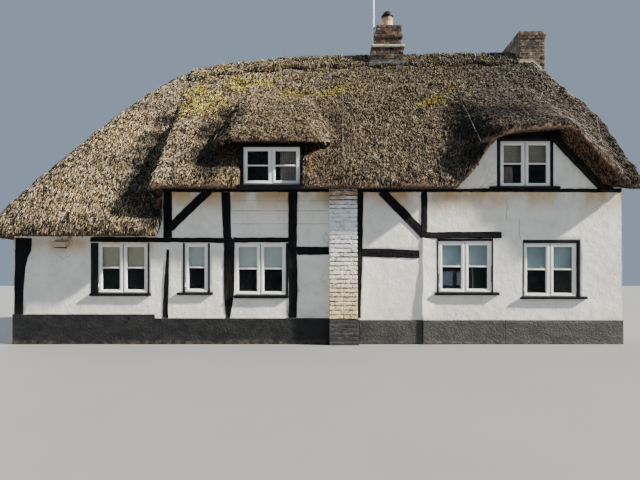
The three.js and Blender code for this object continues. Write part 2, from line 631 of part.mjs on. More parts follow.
function addPot() {
  const middle = [(RIDGE_STACK.x[0] + RIDGE_STACK.x[1]) / 2, 0];
  const foot = RIDGE_STACK.top + GAP;
  const { radius, neck, bore, rim, height } = POT;
  const pot = turned([[bore, 0], [radius, 0], [neck, height * 0.7], [neck + rim, height * 0.78],
    [neck + rim, height], [bore, height], [bore, 0]], 20).translate([...middle, foot]);
  addPiece('chimney_pot', pot, 'clay');
  const seat = foot + height + GAP;
  const { stem, inset } = COWL;
  const cowl = turned([[0, stem], [neck - inset, stem], [neck - inset, 0], [neck, 0], [neck, stem],
    [COWL.radius, stem], [COWL.radius, stem + COWL.rim], [COWL.radius * 0.8, COWL.height * 0.7],
    [COWL.radius * 0.45, COWL.height * 0.93], [0, COWL.height]], 20).translate([...middle, seat]);
  addPiece('pot_cowl', cowl, 'cowl');
}

function addMast() {
  const pole = new THREE.CylinderGeometry(MAST.radius, MAST.radius, MAST.top - MAST.bottom, 12);
  pole.rotateX(Math.PI / 2);
  pole.translate(MAST.x, MAST.y, (MAST.top + MAST.bottom) / 2);
  const arms = MAST.arms.map((z) => box([MAST.x, RIDGE_STACK.x[0] - GAP], grown([MAST.y, MAST.y], 12),
    [z, z + MAST.arm]));
  addPiece('aerial_mast', join(solidOf(pole), ...arms), 'steel');
}

function addLamp() {
  const { x, out, z, tilt } = LAMP;
  const side = new THREE.Shape([[0, z[0] + tilt], [out, z[0]], [out, z[1] - tilt], [0, z[1]]]
    .map(([d, h]) => new THREE.Vector2(d, h)));
  const geometry = new THREE.ExtrudeGeometry(side, { depth: x[1] - x[0], bevelEnabled: false });
  geometry.rotateX(Math.PI / 2);
  geometry.rotateZ(-Math.PI / 2);
  geometry.translate(x[1], FRONT_Y - GAP, 0);
  addPiece('wall_lamp', solidOf(geometry), 'lamp');
}

addFloors();
addWalls();
addPlinth();
addPier();
addTimbers();
for (const [name, spec] of Object.entries(WINDOWS)) addWindow(name, spec, FRONT_Y);
for (const [name, spec] of Object.entries(REAR_WINDOWS)) addWindow(name, spec, REAR_Y);
addHoodWindow();
addGlass();
addDoor();
addThatch();
addHood();
addRidgeCap();
addChimneys();
addPot();
addMast();
addLamp();

export default cottage;
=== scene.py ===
# The looks of a thatched, timber-framed cottage. Metres, +Z up, front facing -Y.
import math

import bmesh
import bpy
import numpy as np
from mathutils import Matrix, Vector, noise
from mathutils.bvhtree import BVHTree


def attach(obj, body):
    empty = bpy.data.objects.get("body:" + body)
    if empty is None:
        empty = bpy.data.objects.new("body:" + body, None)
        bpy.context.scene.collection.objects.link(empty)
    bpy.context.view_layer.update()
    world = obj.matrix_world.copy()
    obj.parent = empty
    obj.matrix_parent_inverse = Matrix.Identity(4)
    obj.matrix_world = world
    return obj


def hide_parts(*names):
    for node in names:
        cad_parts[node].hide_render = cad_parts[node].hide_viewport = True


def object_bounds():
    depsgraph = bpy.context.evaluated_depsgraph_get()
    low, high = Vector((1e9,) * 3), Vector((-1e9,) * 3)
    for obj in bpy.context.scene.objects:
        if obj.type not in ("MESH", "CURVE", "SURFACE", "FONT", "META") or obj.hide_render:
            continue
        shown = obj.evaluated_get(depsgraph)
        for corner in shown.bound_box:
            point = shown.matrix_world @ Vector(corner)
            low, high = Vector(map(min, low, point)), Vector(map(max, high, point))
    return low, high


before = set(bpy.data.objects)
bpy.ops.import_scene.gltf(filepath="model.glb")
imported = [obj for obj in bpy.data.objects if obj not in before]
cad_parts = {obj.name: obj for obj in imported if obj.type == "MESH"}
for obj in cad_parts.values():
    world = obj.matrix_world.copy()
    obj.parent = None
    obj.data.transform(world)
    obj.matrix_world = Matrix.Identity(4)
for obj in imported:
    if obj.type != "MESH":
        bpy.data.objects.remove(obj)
cad_low, cad_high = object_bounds()

X, Y, Z = Vector((1, 0, 0)), Vector((0, 1, 0)), Vector((0, 0, 1))
OUT = -Y  # out of the front wall

# The walls, as in the frame
FRONT, REAR = -2.6, 2.6
PLINTH_TOP = 0.45

# Casements: x and z of the white frame; widths of the black lining at the left, right and head; ends and depth of
# the black sill.
FRONT_WINDOWS = {
    "window_a": ((-3.964, -3.071), (0.907, 1.805), (0.122, 0.024, 0), (-4.096, -3.018, 0.046)),
    "window_b": ((-2.418, -1.996), (0.918, 1.805), (0.027, 0.027, 0), (-2.543, -1.916, 0.04)),
    "window_c": ((-1.525, -0.607), (0.873, 1.805), (0, 0.042, 0), (-1.526, -0.5625, 0.054)),
    "window_e": ((2.114, 3.064), (0.918, 1.837), (0.026, 0.026, 0.05), (2.046, 3.189, 0.044)),
    "window_f": ((3.632, 4.584), (0.844, 1.805), (0.01, 0.054, 0.054), (3.577, 4.755, 0.038)),
    "window_g": ((3.214, 4.116), (2.81, 3.626), (0.054, 0.045, 0.11), (3.018, 4.268, 0.04)),
}
REAR_WINDOWS = {
    "window_rear_" + side: ((x, x + 0.9), (0.907, 1.805), (0.024, 0.024, 0), (x - 0.06, x + 0.96, 0.044))
    for side, x in (("left", -4.55), ("middle", 0.25), ("right", 3.4))
}
REAR_WINDOWS["window_rear_upper"] = ((3.214, 4.116), (2.81, 3.626), (0.045, 0.045, 0.06), (3.018, 4.268, 0.04))
HOOD_WINDOW = ((-1.363, -0.357), (2.848, 3.512))
HOOD_FACE = -2.63  # the face of the upper window under the hood
NOTCH = (-1.4217, -0.3183)  # the thatch's opening for it, as x


# ---- Camera, light and floor ----

def add_camera():
    data = bpy.data.cameras.new("camera")
    data.lens, data.sensor_width, data.shift_y = 27, 36, 0.0594
    camera = bpy.data.objects.new("camera", data)
    camera.location, camera.rotation_euler = (0, -11.17, 1.18), (math.pi / 2, 0, 0)
    bpy.context.scene.collection.objects.link(camera)
    bpy.context.scene.camera = camera


def add_light(name, energy, colour, spread, heading, height):
    """A soft sun, heading and height in degrees as seen from the cottage; heading 90 is its right end."""
    data = bpy.data.lights.new(name, "SUN")
    data.energy, data.color, data.angle = energy, colour, math.radians(spread)
    lamp = bpy.data.objects.new(name, data)
    a, e = math.radians(heading), math.radians(height)
    towards = Vector((math.sin(a) * math.cos(e), -math.cos(a) * math.cos(e), math.sin(e)))
    lamp.rotation_euler = towards.to_track_quat("Z", "Y").to_euler()
    bpy.context.scene.collection.objects.link(lamp)


def add_sky(colour, strength):
    world = bpy.data.worlds.new("studio")
    world.use_nodes = True
    background = world.node_tree.nodes["Background"]
    background.inputs["Color"].default_value = (*colour, 1)
    background.inputs["Strength"].default_value = strength
    bpy.context.scene.world = world


# ---- Shader arithmetic ----

class Shade:
    """A shader node's output. Arithmetic on it adds Math nodes."""

    def __init__(self, finish, socket):
        self.finish, self.socket = finish, socket

    def maths(self, operation, *terms):
        return self.finish.node("Math", {"operation": operation}, dict(enumerate(terms)))

    def __add__(self, other):
        return self.maths("ADD", self, other)

    def __sub__(self, other):
        return self.maths("SUBTRACT", self, other)

    def __rsub__(self, other):
        return self.maths("SUBTRACT", other, self)

    def __mul__(self, other):
        return self.maths("MULTIPLY", self, other)

    def __truediv__(self, other):
        return self.maths("DIVIDE", self, other)

    __radd__, __rmul__ = __add__, __mul__

    def at_least(self, other):
        return self.maths("MAXIMUM", self, other)

    def at_most(self, other):
        return self.maths("MINIMUM", self, other)

    def size(self):
        return self.maths("ABSOLUTE", self)

    def rise(self, low, high):
        """0 at low and 1 at high, smooth between, and falling where high is below low."""
        if high < low:
            return 1 - self.rise(high, low)
        return self.finish.node("MapRange", {"interpolation_type": "SMOOTHSTEP"}, {0: self, 1: low, 2: high})

    def ramp(self, *stops):
        return self.finish.node("ValToRGB", {"stops": stops}, {0: self})

    def cover(self, *layers, blend="MIX"):
        """This colour with others laid over it in turn, each after its share."""
        colour = self
        for share, over in zip(layers[::2], layers[1::2]):
            colour = self.finish.mix(share, colour, over, blend)
        return colour

    def tint(self, *layers):
        """As cover, but each colour is a filter."""
        return self.cover(*layers, blend="MULTIPLY")


class Finish:
    """A procedural material on one Principled shader. Sockets that stay the same all over are given by name."""

    def __init__(self, name, **fixed):
        self.material = bpy.data.materials.new(name)
        self.material.use_nodes = True
        self.tree = self.material.node_tree
        self.shader = self.tree.nodes["Principled BSDF"]
        for socket, value in fixed.items():
            self.shader.inputs[socket.replace("_", " ")].default_value = value
        self.place = self.node("TexCoord", output="Object")
        self.axes = [self.node("SeparateXYZ", None, {0: self.place}, axis) for axis in range(3)]

    def put(self, socket, value):
        if isinstance(value, Shade):
            self.tree.links.new(value.socket, socket)
        else:
            socket.default_value = (*value[:3], 1) if socket.type == "RGBA" else value

    def node(self, kind, settings=None, inputs=None, output=0):
        made = self.tree.nodes.new("ShaderNode" + kind)
        for key, value in (settings or {}).items():
            if key != "stops":
                setattr(made, key, value)
                continue
            row = made.color_ramp.elements
            for number, (position, colour) in enumerate(value):
                stop = row[number] if number < 2 else row.new(position)
                stop.position, stop.color = position, (*colour, 1)
        for socket, value in (inputs or {}).items():
            self.put(made.inputs[socket], value)
        return Shade(self, made.outputs[output])

    def mapped(self, stretch, turn=(0, 0, 0)):
        return self.node("Mapping", None, {"Vector": self.place, "Rotation": turn, "Scale": stretch})

    def grain(self, scale, detail=4, rough=0.55, stretch=(1, 1, 1), twist=0, turn=(0, 0, 0)):
        """Noise about 0.5. A small number in stretch draws it out along that axis."""
        inputs = {"Vector": self.mapped(stretch, turn), "Scale": scale, "Detail": detail, "Roughness": rough,
                  "Distortion": twist}
        return self.node("TexNoise", None, inputs, "Fac")

    def strayed(self, place, scale, detail, stray):
        """A place moved by noise, up to stray along each axis."""
        shift = self.node("TexNoise", None, {"Vector": self.place, "Scale": scale, "Detail": detail}, "Color")
        return self.node("VectorMath", {"operation": "MULTIPLY_ADD"}, {0: shift, 1: (stray,) * 3, 2: place})

    def cells(self, scale, stretch=(1, 1, 1), feature="F1", output="Distance", wobble=0):
        place = self.mapped(stretch)
        if wobble:
            place = self.strayed(place, 5.0, 6.0, wobble)
        return self.node("TexVoronoi", {"feature": feature}, {"Vector": place, "Scale": scale}, output)

    def value(self, attribute):
        return self.node("Attribute", {"attribute_name": attribute}, None, "Fac")

    def mix(self, share, first, second, blend="MIX"):
        settings = {"data_type": "RGBA", "blend_type": blend, "clamp_factor": True}
        return self.node("Mix", settings, {0: share, 6: first, 7: second}, 2)

    def patches(self, places, stray=0.4):
        """1 near any of several places, each with its reach, and 0 beyond. Noise strays their edges."""
        here, share = self.strayed(self.place, 2.0, 5.0, stray), 0
        for *centre, reach in places:
            middle = [c + stray / 2 for c in centre]
            away = self.node("VectorMath", {"operation": "DISTANCE"}, {0: here, 1: middle}, "Value")
            share = away.rise(reach, reach * 0.35).at_least(share)
        return share

    def done(self, colour, rough=None, height=None, depth=0.002, **more):
        """Joins colour, roughness and relief, whose height is from 0 to 1 and depth in metres, to the shader."""
        joined = {"Base Color": colour, "Roughness": rough, **more}
        if height is not None:
            joined["Normal"] = self.node("Bump", None, {"Strength": 1.0, "Distance": depth, "Height": height})
        for socket, value in joined.items():
            if value is not None:
                self.put(self.shader.inputs[socket], value)
        return self.material


# ---- Finishes ----

# Places and reaches on the thatch: moss; damp, which is also painted shadow in the valley by the bay, beside the
# hoods and under the main eaves; and pale straw of painted sunlight
MOSS = [(-2.4, -1.2, 4.75, 0.85), (-2.65, -0.8, 5.2, 0.6), (-1.75, -0.7, 5.4, 0.5), (-1.35, -0.68, 5.5, 0.4),
        (-0.6, -1.12, 5.0, 0.4), (0.15, -1.1, 5.05, 0.5), (0.5, -1.0, 5.2, 0.4), (2.35, -1.35, 4.78, 0.5),
        (2.85, -1.05, 5.2, 0.35), (1.9, 1.2, 5.2, 0.5), (1.5, 1.0, 5.5, 0.45), (2.35, 1.5, 4.8, 0.42),
        (3.0, 1.8, 4.4, 0.35), (-1.4, 1.4, 4.9, 0.45), (-1.85, 1.1, 5.25, 0.45), (-0.8, 1.7, 4.5, 0.35),
        (-3.9, 1.6, 3.4, 0.5), (-4.3, 1.2, 3.9, 0.4), (-3.4, 2.0, 3.0, 0.35)]
# Damp and painted shadow: the valley by the bay, the shaded sides of the hoods, the cheek under the main eaves
DAMP_AND_SHADOW = [(2.86, -1.8, 4.45, 0.55), (2.82, -2.3, 4.05, 0.6), (2.75, -2.85, 3.5, 0.5), (3.5, -2.1, 4.4, 0.6),
        (-3.22, -1.4, 4.42, 0.3), (-3.3, -1.75, 3.95, 0.34), (-3.36, -1.98, 3.62, 0.36), (-3.38, -2.2, 3.28, 0.4),
        (-3.38, -2.42, 2.98, 0.4), (-2.62, -2.8, 2.4, 0.6), (-2.1, -2.5, 3.4, 0.55), (-1.95, -2.75, 3.05, 0.4),
        (-2.02, -1.9, 4.0, 0.5), (-1.85, -1.5, 4.5, 0.36), (-3.42, -2.5, 2.78, 0.34), (-3.22, -2.62, 2.6, 0.4),
        (-3.0, -2.7, 2.46, 0.42), (-2.86, -2.85, 2.3, 0.36), (-2.84, -2.75, 2.08, 0.22)]
# Paler straw, painted sunlight on the bay and beside the window under the hood
PALE_SUNLIT = [(-1.62, -2.93, 2.9, 0.26), (-0.15, -2.72, 3.15, 0.3), (-3.9, -1.5, 4.0, 0.9), (-4.4, -2.4, 2.6, 0.8)]


def weathering(finish, colour):
    """Greys the straw towards the right; moss lies on it, with patches of damp and painted shadow, and patches of
    painted sunlight.
    """
    (x, y, z), grain = finish.axes, finish.grain
    greyed = x.rise(-3.2, 2.4) + (grain(0.9, 3) - 0.5) * 0.9
    low = z.rise(5.3, 4.3) * x.rise(-2.7, -2.0) * (1 - x.rise(0.3, 1.1) * x.rise(2.8, 2.3))
    shaggy = z.rise(2.3, 1.95) * x.rise(-2.4, -2.7) * 0.7
    colour = colour.tint(greyed.at_least(0), (0.42, 0.43, 0.47), low, (0.62, 0.6, 0.58),
                         x.rise(2.7, 3.6), (0.76, 0.78, 0.86), x.rise(-1.9, -3.2), (0.85, 0.88, 0.95),
                         shaggy, (0.5, 0.48, 0.46))
    speckle = grain(26, 5, 0.75).rise(0.3, 0.62) * 0.4 + 0.6
    # Dark blue-grey patches of damp and painted shadow, and pale patches of painted sunlight
    for places, strength, tint in ((DAMP_AND_SHADOW, 1.0, (0.17, 0.2, 0.25)), (PALE_SUNLIT, 0.5, (1.6, 1.5, 1.3))):
        colour = colour.tint(finish.patches(places) * speckle * strength, tint)
    moss = finish.patches(MOSS, 1.0).at_least(z.rise(4.2, 6.4) * 0.45)
    moss = (grain(48, 3, 0.7) + grain(6, 3) * 0.6 + moss * 0.26 - 1.04).rise(0.0, 0.05)
    damp = grain(1.3, 5).rise(0.54, 0.74) * 0.35
    return eaves_line(finish, colour.tint(moss * 0.9, (1.75, 1.85, 0.24), damp, (0.4, 0.4, 0.42)))


def eaves_line(finish, colour):
    """Darkens the foot of the main eaves, where the reed was cut."""
    x, y, z = finish.axes
    line = z.rise(2.7, 2.67) * z.rise(2.4, 2.5) * y.rise(-2.88, -2.96)
    return colour.tint(line * 0.75, (0.34, 0.27, 0.26))


def straw_ends():
    """The bundles of straw that lie on the roofs. Their tone runs from root to tip."""
    finish = Finish("straw_ends", Roughness=0.85, Specular_IOR_Level=0.25)
    tone = finish.value("tone") + (finish.grain(150, 2) - 0.5) * 0.4
    colour = tone.ramp((0.04, (0.01, 0.008, 0.006)), (0.3, (0.06, 0.042, 0.026)), (0.5, (0.27, 0.195, 0.115)),
                       (0.72, (0.68, 0.55, 0.36)), (0.95, (0.95, 0.87, 0.7)))
    hue = finish.grain(17, 3, 0.7).rise(0.4, 0.6)
    colour = colour.tint(hue, (0.9, 0.97, 1.06), hue.rise(0.5, 0.0), (1.1, 0.93, 0.76))
    return finish.done(weathering(finish, colour), height=finish.grain(260, stretch=(1, 0.3, 0.3)), depth=0.002)


def straw_bed():
    """The thatch under the loose ends, drawn out down the slope, with the cut reed of its underside. Its dark colour
    is partly painted shade: in the gaps between the loose ends, and darker still on faces that point down.
    """
    finish = Finish("straw_bed", Roughness=0.95, Specular_IOR_Level=0.15)
    (x, y, z), grain = finish.axes, finish.grain
    fine = finish.mix(finish.value("sideways"), grain(75, 4, 0.75, (1, 0.2, 0.2)), grain(75, 4, 0.75, (0.2, 1, 0.2)))
    fine = finish.node("RGBToBW", None, {0: fine}) + (grain(30, 2, 0.6) - 0.5) * 0.4
    # Mostly dark brown: the straw's colour, deepened as painted shade in the gaps between the loose ends
    colour = fine.ramp((0.36, (0.01, 0.007, 0.005)), (0.47, (0.05, 0.035, 0.021)), (0.56, (0.24, 0.175, 0.1)),
                       (0.66, (0.7, 0.57, 0.38)))
    stubble = finish.cells(85)
    # Cut reed on faces that point down, near black: the reed's colour with painted shade on the undersides
    reed = (stubble + grain(12) * 0.5).ramp((0.2, (0.012, 0.006, 0.004)), (0.55, (0.075, 0.038, 0.022)),
                                            (0.95, (0.22, 0.13, 0.08)))
    under = finish.value("under")
    cut = y.rise(-2.97, -2.985) * z.rise(2.6, 2.66)
    cut = cut.at_least(y.rise(-2.775, -2.8) * z.rise(3.5, 3.52) * z.rise(3.64, 3.6))
    butts = (stubble + grain(20) * 0.6).ramp((0.2, (0.012, 0.008, 0.006)), (0.6, (0.05, 0.032, 0.024)),
                                             (0.95, (0.14, 0.09, 0.066)))
    colour = eaves_line(finish, weathering(finish, colour).cover(under, reed, cut * (1 - under), butts))
    return finish.done(colour, height=fine * (1 - under) + stubble * under, depth=0.012)


def lime():
    """Painted lime render: brushed, patched, stained ochre under the eaves, cracked, and ridged over old boards with
    painted shadow lines; the right end wall is darker as painted shade.
    """
    finish = Finish("lime_render", Specular_IOR_Level=0.3)
    (x, y, z), grain = finish.axes, finish.grain
    trowelled, brushed, lumps = grain(2.2, 6, 0.6), grain(60, 5, 0.65, (1, 1, 0.5)), grain(7, 6, 0.62)
    sides, front = y.size().rise(2.56, 2.6), y.rise(-2.5, -2.58)
    streaks = grain(3.2, 4, stretch=(1, 1, 0.16)).rise(0.52, 0.75) * z.rise(0.7, 2.6) * 0.35
    eaves = z.rise(2.25, 2.72) * z.rise(2.85, 2.72) * sides
    bay = z.rise(1.5, 1.85) * z.rise(1.95, 1.85) * x.rise(-2.9, -3.1) * sides
    soot = (eaves.at_least(bay) * grain(1.9, 5, stretch=(1, 1, 0.6)).rise(0.33, 0.58)) * 0.95
    # The right end wall, square to the key light, is darkened as painted shade
    end_wall_shade = x.rise(5.37, 5.395)
    splash = z.rise(0.75, 0.45) * grain(5, 5).rise(0.4, 0.65) * 0.4
    colour = trowelled.ramp((0.3, (0.76, 0.755, 0.72)), (0.5, (0.87, 0.862, 0.83)), (0.7, (0.92, 0.91, 0.86)))
    colour = colour.tint(lumps.rise(0.48, 0.68) * 0.4, (0.78, 0.77, 0.68), streaks, (0.66, 0.6, 0.48),
                         soot, (0.66, 0.49, 0.27), end_wall_shade, (0.6, 0.585, 0.55), splash, (0.62, 0.56, 0.46))
    jagged = (grain(9, 5) - 0.5) * 0.06
    crack_and_ledge_shadow = finish.cells(0.8, (1, 1, 0.7), "DISTANCE_TO_EDGE", wobble=0.3).rise(0.0035, 0.001)
    crack_and_ledge_shadow = crack_and_ledge_shadow * grain(0.9).rise(0.54, 0.58) * 0.7
    for across, low, high in ((3.33, 2.2, 2.6), (3.56, 1.85, 2.25)):
        line = (x + jagged * 1.4 - across).size().rise(0.009, 0.002)
        crack_and_ledge_shadow = crack_and_ledge_shadow.at_least(line * z.rise(low, low + 0.05) * z.rise(high, high - 0.05) * front)
    panel = x.rise(-1.6, -1.5) * x.rise(0.17, 0.1) * front
    # Board ridges over the upper panel: slight relief, and dark lines that are painted shadow under the ridges
    for level, share in ((2.56, 0.5), (2.38, 0.9), (2.15, 0.6)):
        board = (z + jagged * 0.3 - level).size().rise(0.012, 0.004)
        broken = grain(2, stretch=(1, 1, 0.1)).rise(0.36, 0.5) * 0.5 + 0.5
        crack_and_ledge_shadow = crack_and_ledge_shadow.at_least(board * panel * broken * share)
    chips = grain(30, 3).rise(0.7, 0.74) * z.rise(0.9, 0.6) * z.rise(0.46, 0.56)
    # Cracks, and the painted shadow lines under the board ridges
    colour = colour.cover(crack_and_ledge_shadow * 0.6, (0.2, 0.17, 0.14), chips * 0.8, (0.09, 0.07, 0.055))
    height = trowelled * 0.4 + brushed * 0.12 + lumps * 0.5 - crack_and_ledge_shadow * 0.2 - chips * 0.3
    return finish.done(colour, brushed * 0.25 + 0.72, height, 0.024)


def black_oak():
    """Tarred and painted oak, greyed and open along the grain."""
    finish = Finish("black_oak", Specular_IOR_Level=0.12)
    fibre = finish.grain(26, 5, 0.65, (1, 1, 0.08), 0.4)
    worn = finish.grain(4, 6, 0.7, (1, 1, 0.4)).rise(0.52, 0.72)
    colour = fibre.ramp((0.35, (0.0025, 0.0025, 0.003)), (0.6, (0.007, 0.007, 0.009)), (0.75, (0.03, 0.029, 0.03)))
    return finish.done(colour.cover(worn * 0.3, (0.05, 0.045, 0.04)), fibre * 0.3 + 0.5, fibre, 0.008)


def black_paint():
    finish = Finish("black_paint", Specular_IOR_Level=0.2)
    dust = finish.grain(6, 5).rise(0.5, 0.75) * 0.22
    colour = finish.mix(dust, (0.004, 0.004, 0.005), (0.05, 0.048, 0.046))
    return finish.done(colour, dust * 0.6 + 0.3, finish.grain(90, 3, stretch=(0.1, 1, 1)), 0.001)


def white_paint():
    finish = Finish("white_paint", Specular_IOR_Level=0.5, Coat_Roughness=0.2)
    grime = finish.grain(7, 6, 0.65).rise(0.5, 0.78) * 0.28
    colour = finish.mix(grime, (0.9, 0.9, 0.88), (0.5, 0.47, 0.41))
    return finish.done(colour, grime * 0.5 + 0.28, finish.grain(110, 3, stretch=(1, 1, 0.12)), 0.0006)


def glass():
    finish = Finish("window_glass", Roughness=0.03, Specular_IOR_Level=0.35, Coat_Weight=0.15, Coat_Roughness=0.02)
    smears = finish.grain(5, 3)
    colour = finish.mix(smears, (0.004, 0.006, 0.008), (0.012, 0.017, 0.02))
    return finish.done(colour, height=finish.grain(3, 1), depth=0.004, Alpha=smears * 0.12 + 0.1)


def roller_cloth():
    """Blind cloth: cream at the left, greyer and bluer to the right, and warmer upstairs."""
    finish = Finish("blind_cloth", Roughness=0.9, Sheen_Weight=0.15)
    x, y, z = finish.axes
    warp, weft = finish.grain(900, 0, stretch=(1, 1, 0.05)), finish.grain(900, 0, stretch=(0.05, 1, 1))
    colour = finish.mix(x.rise(-2.9, -2.5), (0.74, 0.74, 0.56), (0.88, 1.0, 1.0))
    colour = colour.cover(x.rise(0, 1.8), (0.42, 0.58, 0.66), z.rise(2.5, 2.8), (0.95, 0.88, 0.72))
    return finish.done(colour.tint(warp * weft, (0.72, 0.76, 0.72)), height=warp + weft, depth=0.0005)


def curtain_cloth():
    finish = Finish("curtain_linen", Roughness=0.9, Sheen_Weight=0.2)
    warp, weft = finish.grain(700, 0, stretch=(1, 1, 0.05)), finish.grain(700, 0, stretch=(0.05, 0.05, 1))
    colour = finish.mix(finish.grain(6, 3), (0.8, 0.76, 0.66), (0.7, 0.66, 0.57))
    return finish.done(colour.tint(warp * weft, (0.8, 0.8, 0.78)), height=warp + weft, depth=0.0005)


def plinth_paint():
    """Bitumen paint over rough render, lighter and greyer towards the right, its foot splashed."""
    finish = Finish("plinth_paint", Specular_IOR_Level=0.3)
    (x, y, z), grain = finish.axes, finish.grain
    rough, scuffed = grain(26, 6, 0.7), grain(3, 6, 0.7, (1, 1, 1.6)).rise(0.35, 0.72)
    right = x.rise(0.0, 1.2)
    joint = (x - 1.82).size().at_most((x - 3.3).size()) + (grain(12) - 0.5) * 0.01
    joint = joint.rise(0.008, 0.003) * y.rise(-2.5, -2.58)
    dusty = z.rise(0.12, 0.0) * grain(8, 5).rise(0.4, 0.65) * 0.4
    colour = finish.mix(right, (0.006, 0.0065, 0.009), (0.03, 0.032, 0.034))
    colour = colour.cover(scuffed * (right * 0.2 + 0.14), (0.12, 0.122, 0.12),
                          rough.rise(0.5, 0.66) * (right * 0.16 + 0.06), (0.13, 0.125, 0.11),
                          joint * 0.8, (0.006, 0.006, 0.006), dusty, (0.2, 0.17, 0.13))
    return finish.done(colour, scuffed * 0.2 + 0.55, rough * 0.8 + scuffed * 0.3 - joint, 0.018)


def brickwork(name, low, middle, high, lichen, soot):
    """Fired brick. Each brick's tone picks its colour between three."""
    finish = Finish(name, Roughness=0.9, Specular_IOR_Level=0.2)
    grain = finish.grain
    colour = (finish.value("tone") + (grain(22, 5) - 0.5) * 0.5).ramp((0.1, low), (0.5, middle), (0.9, high))
    colour = colour.cover(grain(11, 6, 0.75).rise(0.56 - lichen * 0.1, 0.66) * lichen, (0.5, 0.5, 0.4))
    colour = colour.tint(grain(3.5, 5).rise(0.42, 0.62) * soot, (0.3, 0.29, 0.28))
    return finish.done(colour, height=grain(75, 6, 0.7), depth=0.006)


def mortar(name, colour):
    finish = Finish(name, Roughness=0.95, Specular_IOR_Level=0.15)
    patches = finish.grain(6, 5).rise(0.4, 0.65) * 0.6
    colour = finish.mix(patches, colour, tuple(c * 0.45 for c in colour))
    return finish.done(colour, height=finish.grain(160, 4, 0.75), depth=0.004)


def painted_brick():
    """White-painted brick: cream low down, cool and thick above, with red brick through the worn top. Its
    warm-to-cool rise is partly painted light: sunlit below, painted shade under the eaves above.
    """
    finish = Finish("painted_brick", Specular_IOR_Level=0.3)
    (x, y, z), grain = finish.axes, finish.grain
    crust, each = grain(24, 6, 0.7), finish.value("tone")
    # Warm cream low down to cool blue-grey above: the paint's colour, with painted sunlight below and painted shade
    # under the eaves
    colour = z.rise(0.5, 2.0).ramp((0.0, (0.88, 0.72, 0.44)), (0.5, (0.92, 0.87, 0.74)), (1.0, (0.84, 0.89, 0.95)))
    grime = grain(10, 5, stretch=(1, 1, 2)).rise(0.46, 0.68) * 0.6
    fired = (each + grain(40, 4) - 0.5).ramp((0.2, (0.12, 0.055, 0.035)), (0.8, (0.4, 0.2, 0.12)))
    stained = z.rise(2.4, 2.68) * grain(6, 4, stretch=(1, 1, 1.5)).rise(0.3, 0.55)
    colour = colour.tint(grime, (0.6, 0.5, 0.36), stained * 0.9, (0.58, 0.42, 0.26))
    worn = z.rise(2.3, 2.74) * 0.27 + each * 0.12 + grain(13, 6, 0.75, (0.5, 1, 1.6)) - 0.77
    course = (z - 0.456) / 0.0778
    joint = (course.maths("FRACT", course) - 0.5).size().rise(0.27, 0.4) * y.rise(-2.72, -2.74)
    plain = z.rise(1.85, 1.95) * z.rise(2.45, 2.35)
    joint = joint * grain(17, 6, 0.8, (0.6, 1, 2)).rise(0.45, 0.53) * (1 - plain * 0.75)
    strokes = finish.cells(8, (1, 1, 1.5), "DISTANCE_TO_EDGE", wobble=0.3).rise(0.07, 0.02)
    strokes = strokes * grain(7, 4).rise(0.44, 0.56) * (1 - plain) * z.rise(2.5, 1.9)
    chipped = (grain(38, 5, 0.7) + each * 0.05).rise(0.66, 0.72) * z.rise(2.2, 1.7)
    foot = z.rise(0.466, 0.458)
    black = grain(9, 5).ramp((0.3, (0.01, 0.011, 0.013)), (0.7, (0.06, 0.062, 0.066)))
    colour = colour.cover(worn.rise(0.0, 0.06) * 0.8, fired, joint * 0.9, (0.06, 0.045, 0.03),
                          strokes * 0.8, (0.07, 0.05, 0.032), chipped * 0.7, (0.2, 0.13, 0.09), foot, black)
    height = crust - chipped * 0.4 - joint * 0.8 - strokes * 0.4
    return finish.done(colour, 0.85 - foot * 0.25, height, 0.012)


def stone():
    finish = Finish("band_stone", Roughness=0.9)
    lichen = finish.grain(20, 6, 0.7)
    colour = lichen.ramp((0.35, (0.16, 0.15, 0.12)), (0.52, (0.42, 0.4, 0.33)), (0.68, (0.6, 0.57, 0.44)))
    return finish.done(colour, height=lichen, depth=0.008)


def lead():
    """Weathered lead, dark, with pale streaks down it."""
    finish = Finish("lead", Metallic=0.4)
    dull = finish.grain(8, 6, 0.65)
    streaks = finish.grain(16, 5, stretch=(1, 1, 0.25), turn=(0, 0.5, 0)).rise(0.56, 0.68)
    colour = dull.ramp((0.3, (0.02, 0.021, 0.024)), (0.55, (0.05, 0.052, 0.055)), (0.75, (0.13, 0.13, 0.13)))
    return finish.done(colour.cover(streaks * 0.5, (0.36, 0.36, 0.34)), dull * 0.4 + 0.4, dull, 0.004)


def clay():
    """Pot clay, sooted at its rim."""
    finish = Finish("pot_clay", Roughness=0.8)
    fired = finish.grain(10, 6, 0.65, (1, 1, 0.5))
    colour = fired.ramp((0.3, (0.28, 0.15, 0.09)), (0.5, (0.52, 0.33, 0.22)), (0.7, (0.66, 0.5, 0.37)))
    colour = colour.cover(finish.axes[2].rise(7.12, 7.2) * 0.7, (0.05, 0.045, 0.04))
    return finish.done(colour, height=finish.grain(60, 4, stretch=(0.2, 0.2, 1)), depth=0.003)


def sooty_shaded_cowl():
    # Near black all over: soot, and painted shade for the cowl's shaded underside
    finish = Finish("cowl_clay", Specular_IOR_Level=0.2)
    rust = finish.grain(16, 6, 0.7)
    colour = rust.ramp((0.35, (0.01, 0.007, 0.006)), (0.55, (0.026, 0.014, 0.01)), (0.72, (0.09, 0.042, 0.024)))
    return finish.done(colour, rust * 0.4 + 0.4, rust, 0.004)


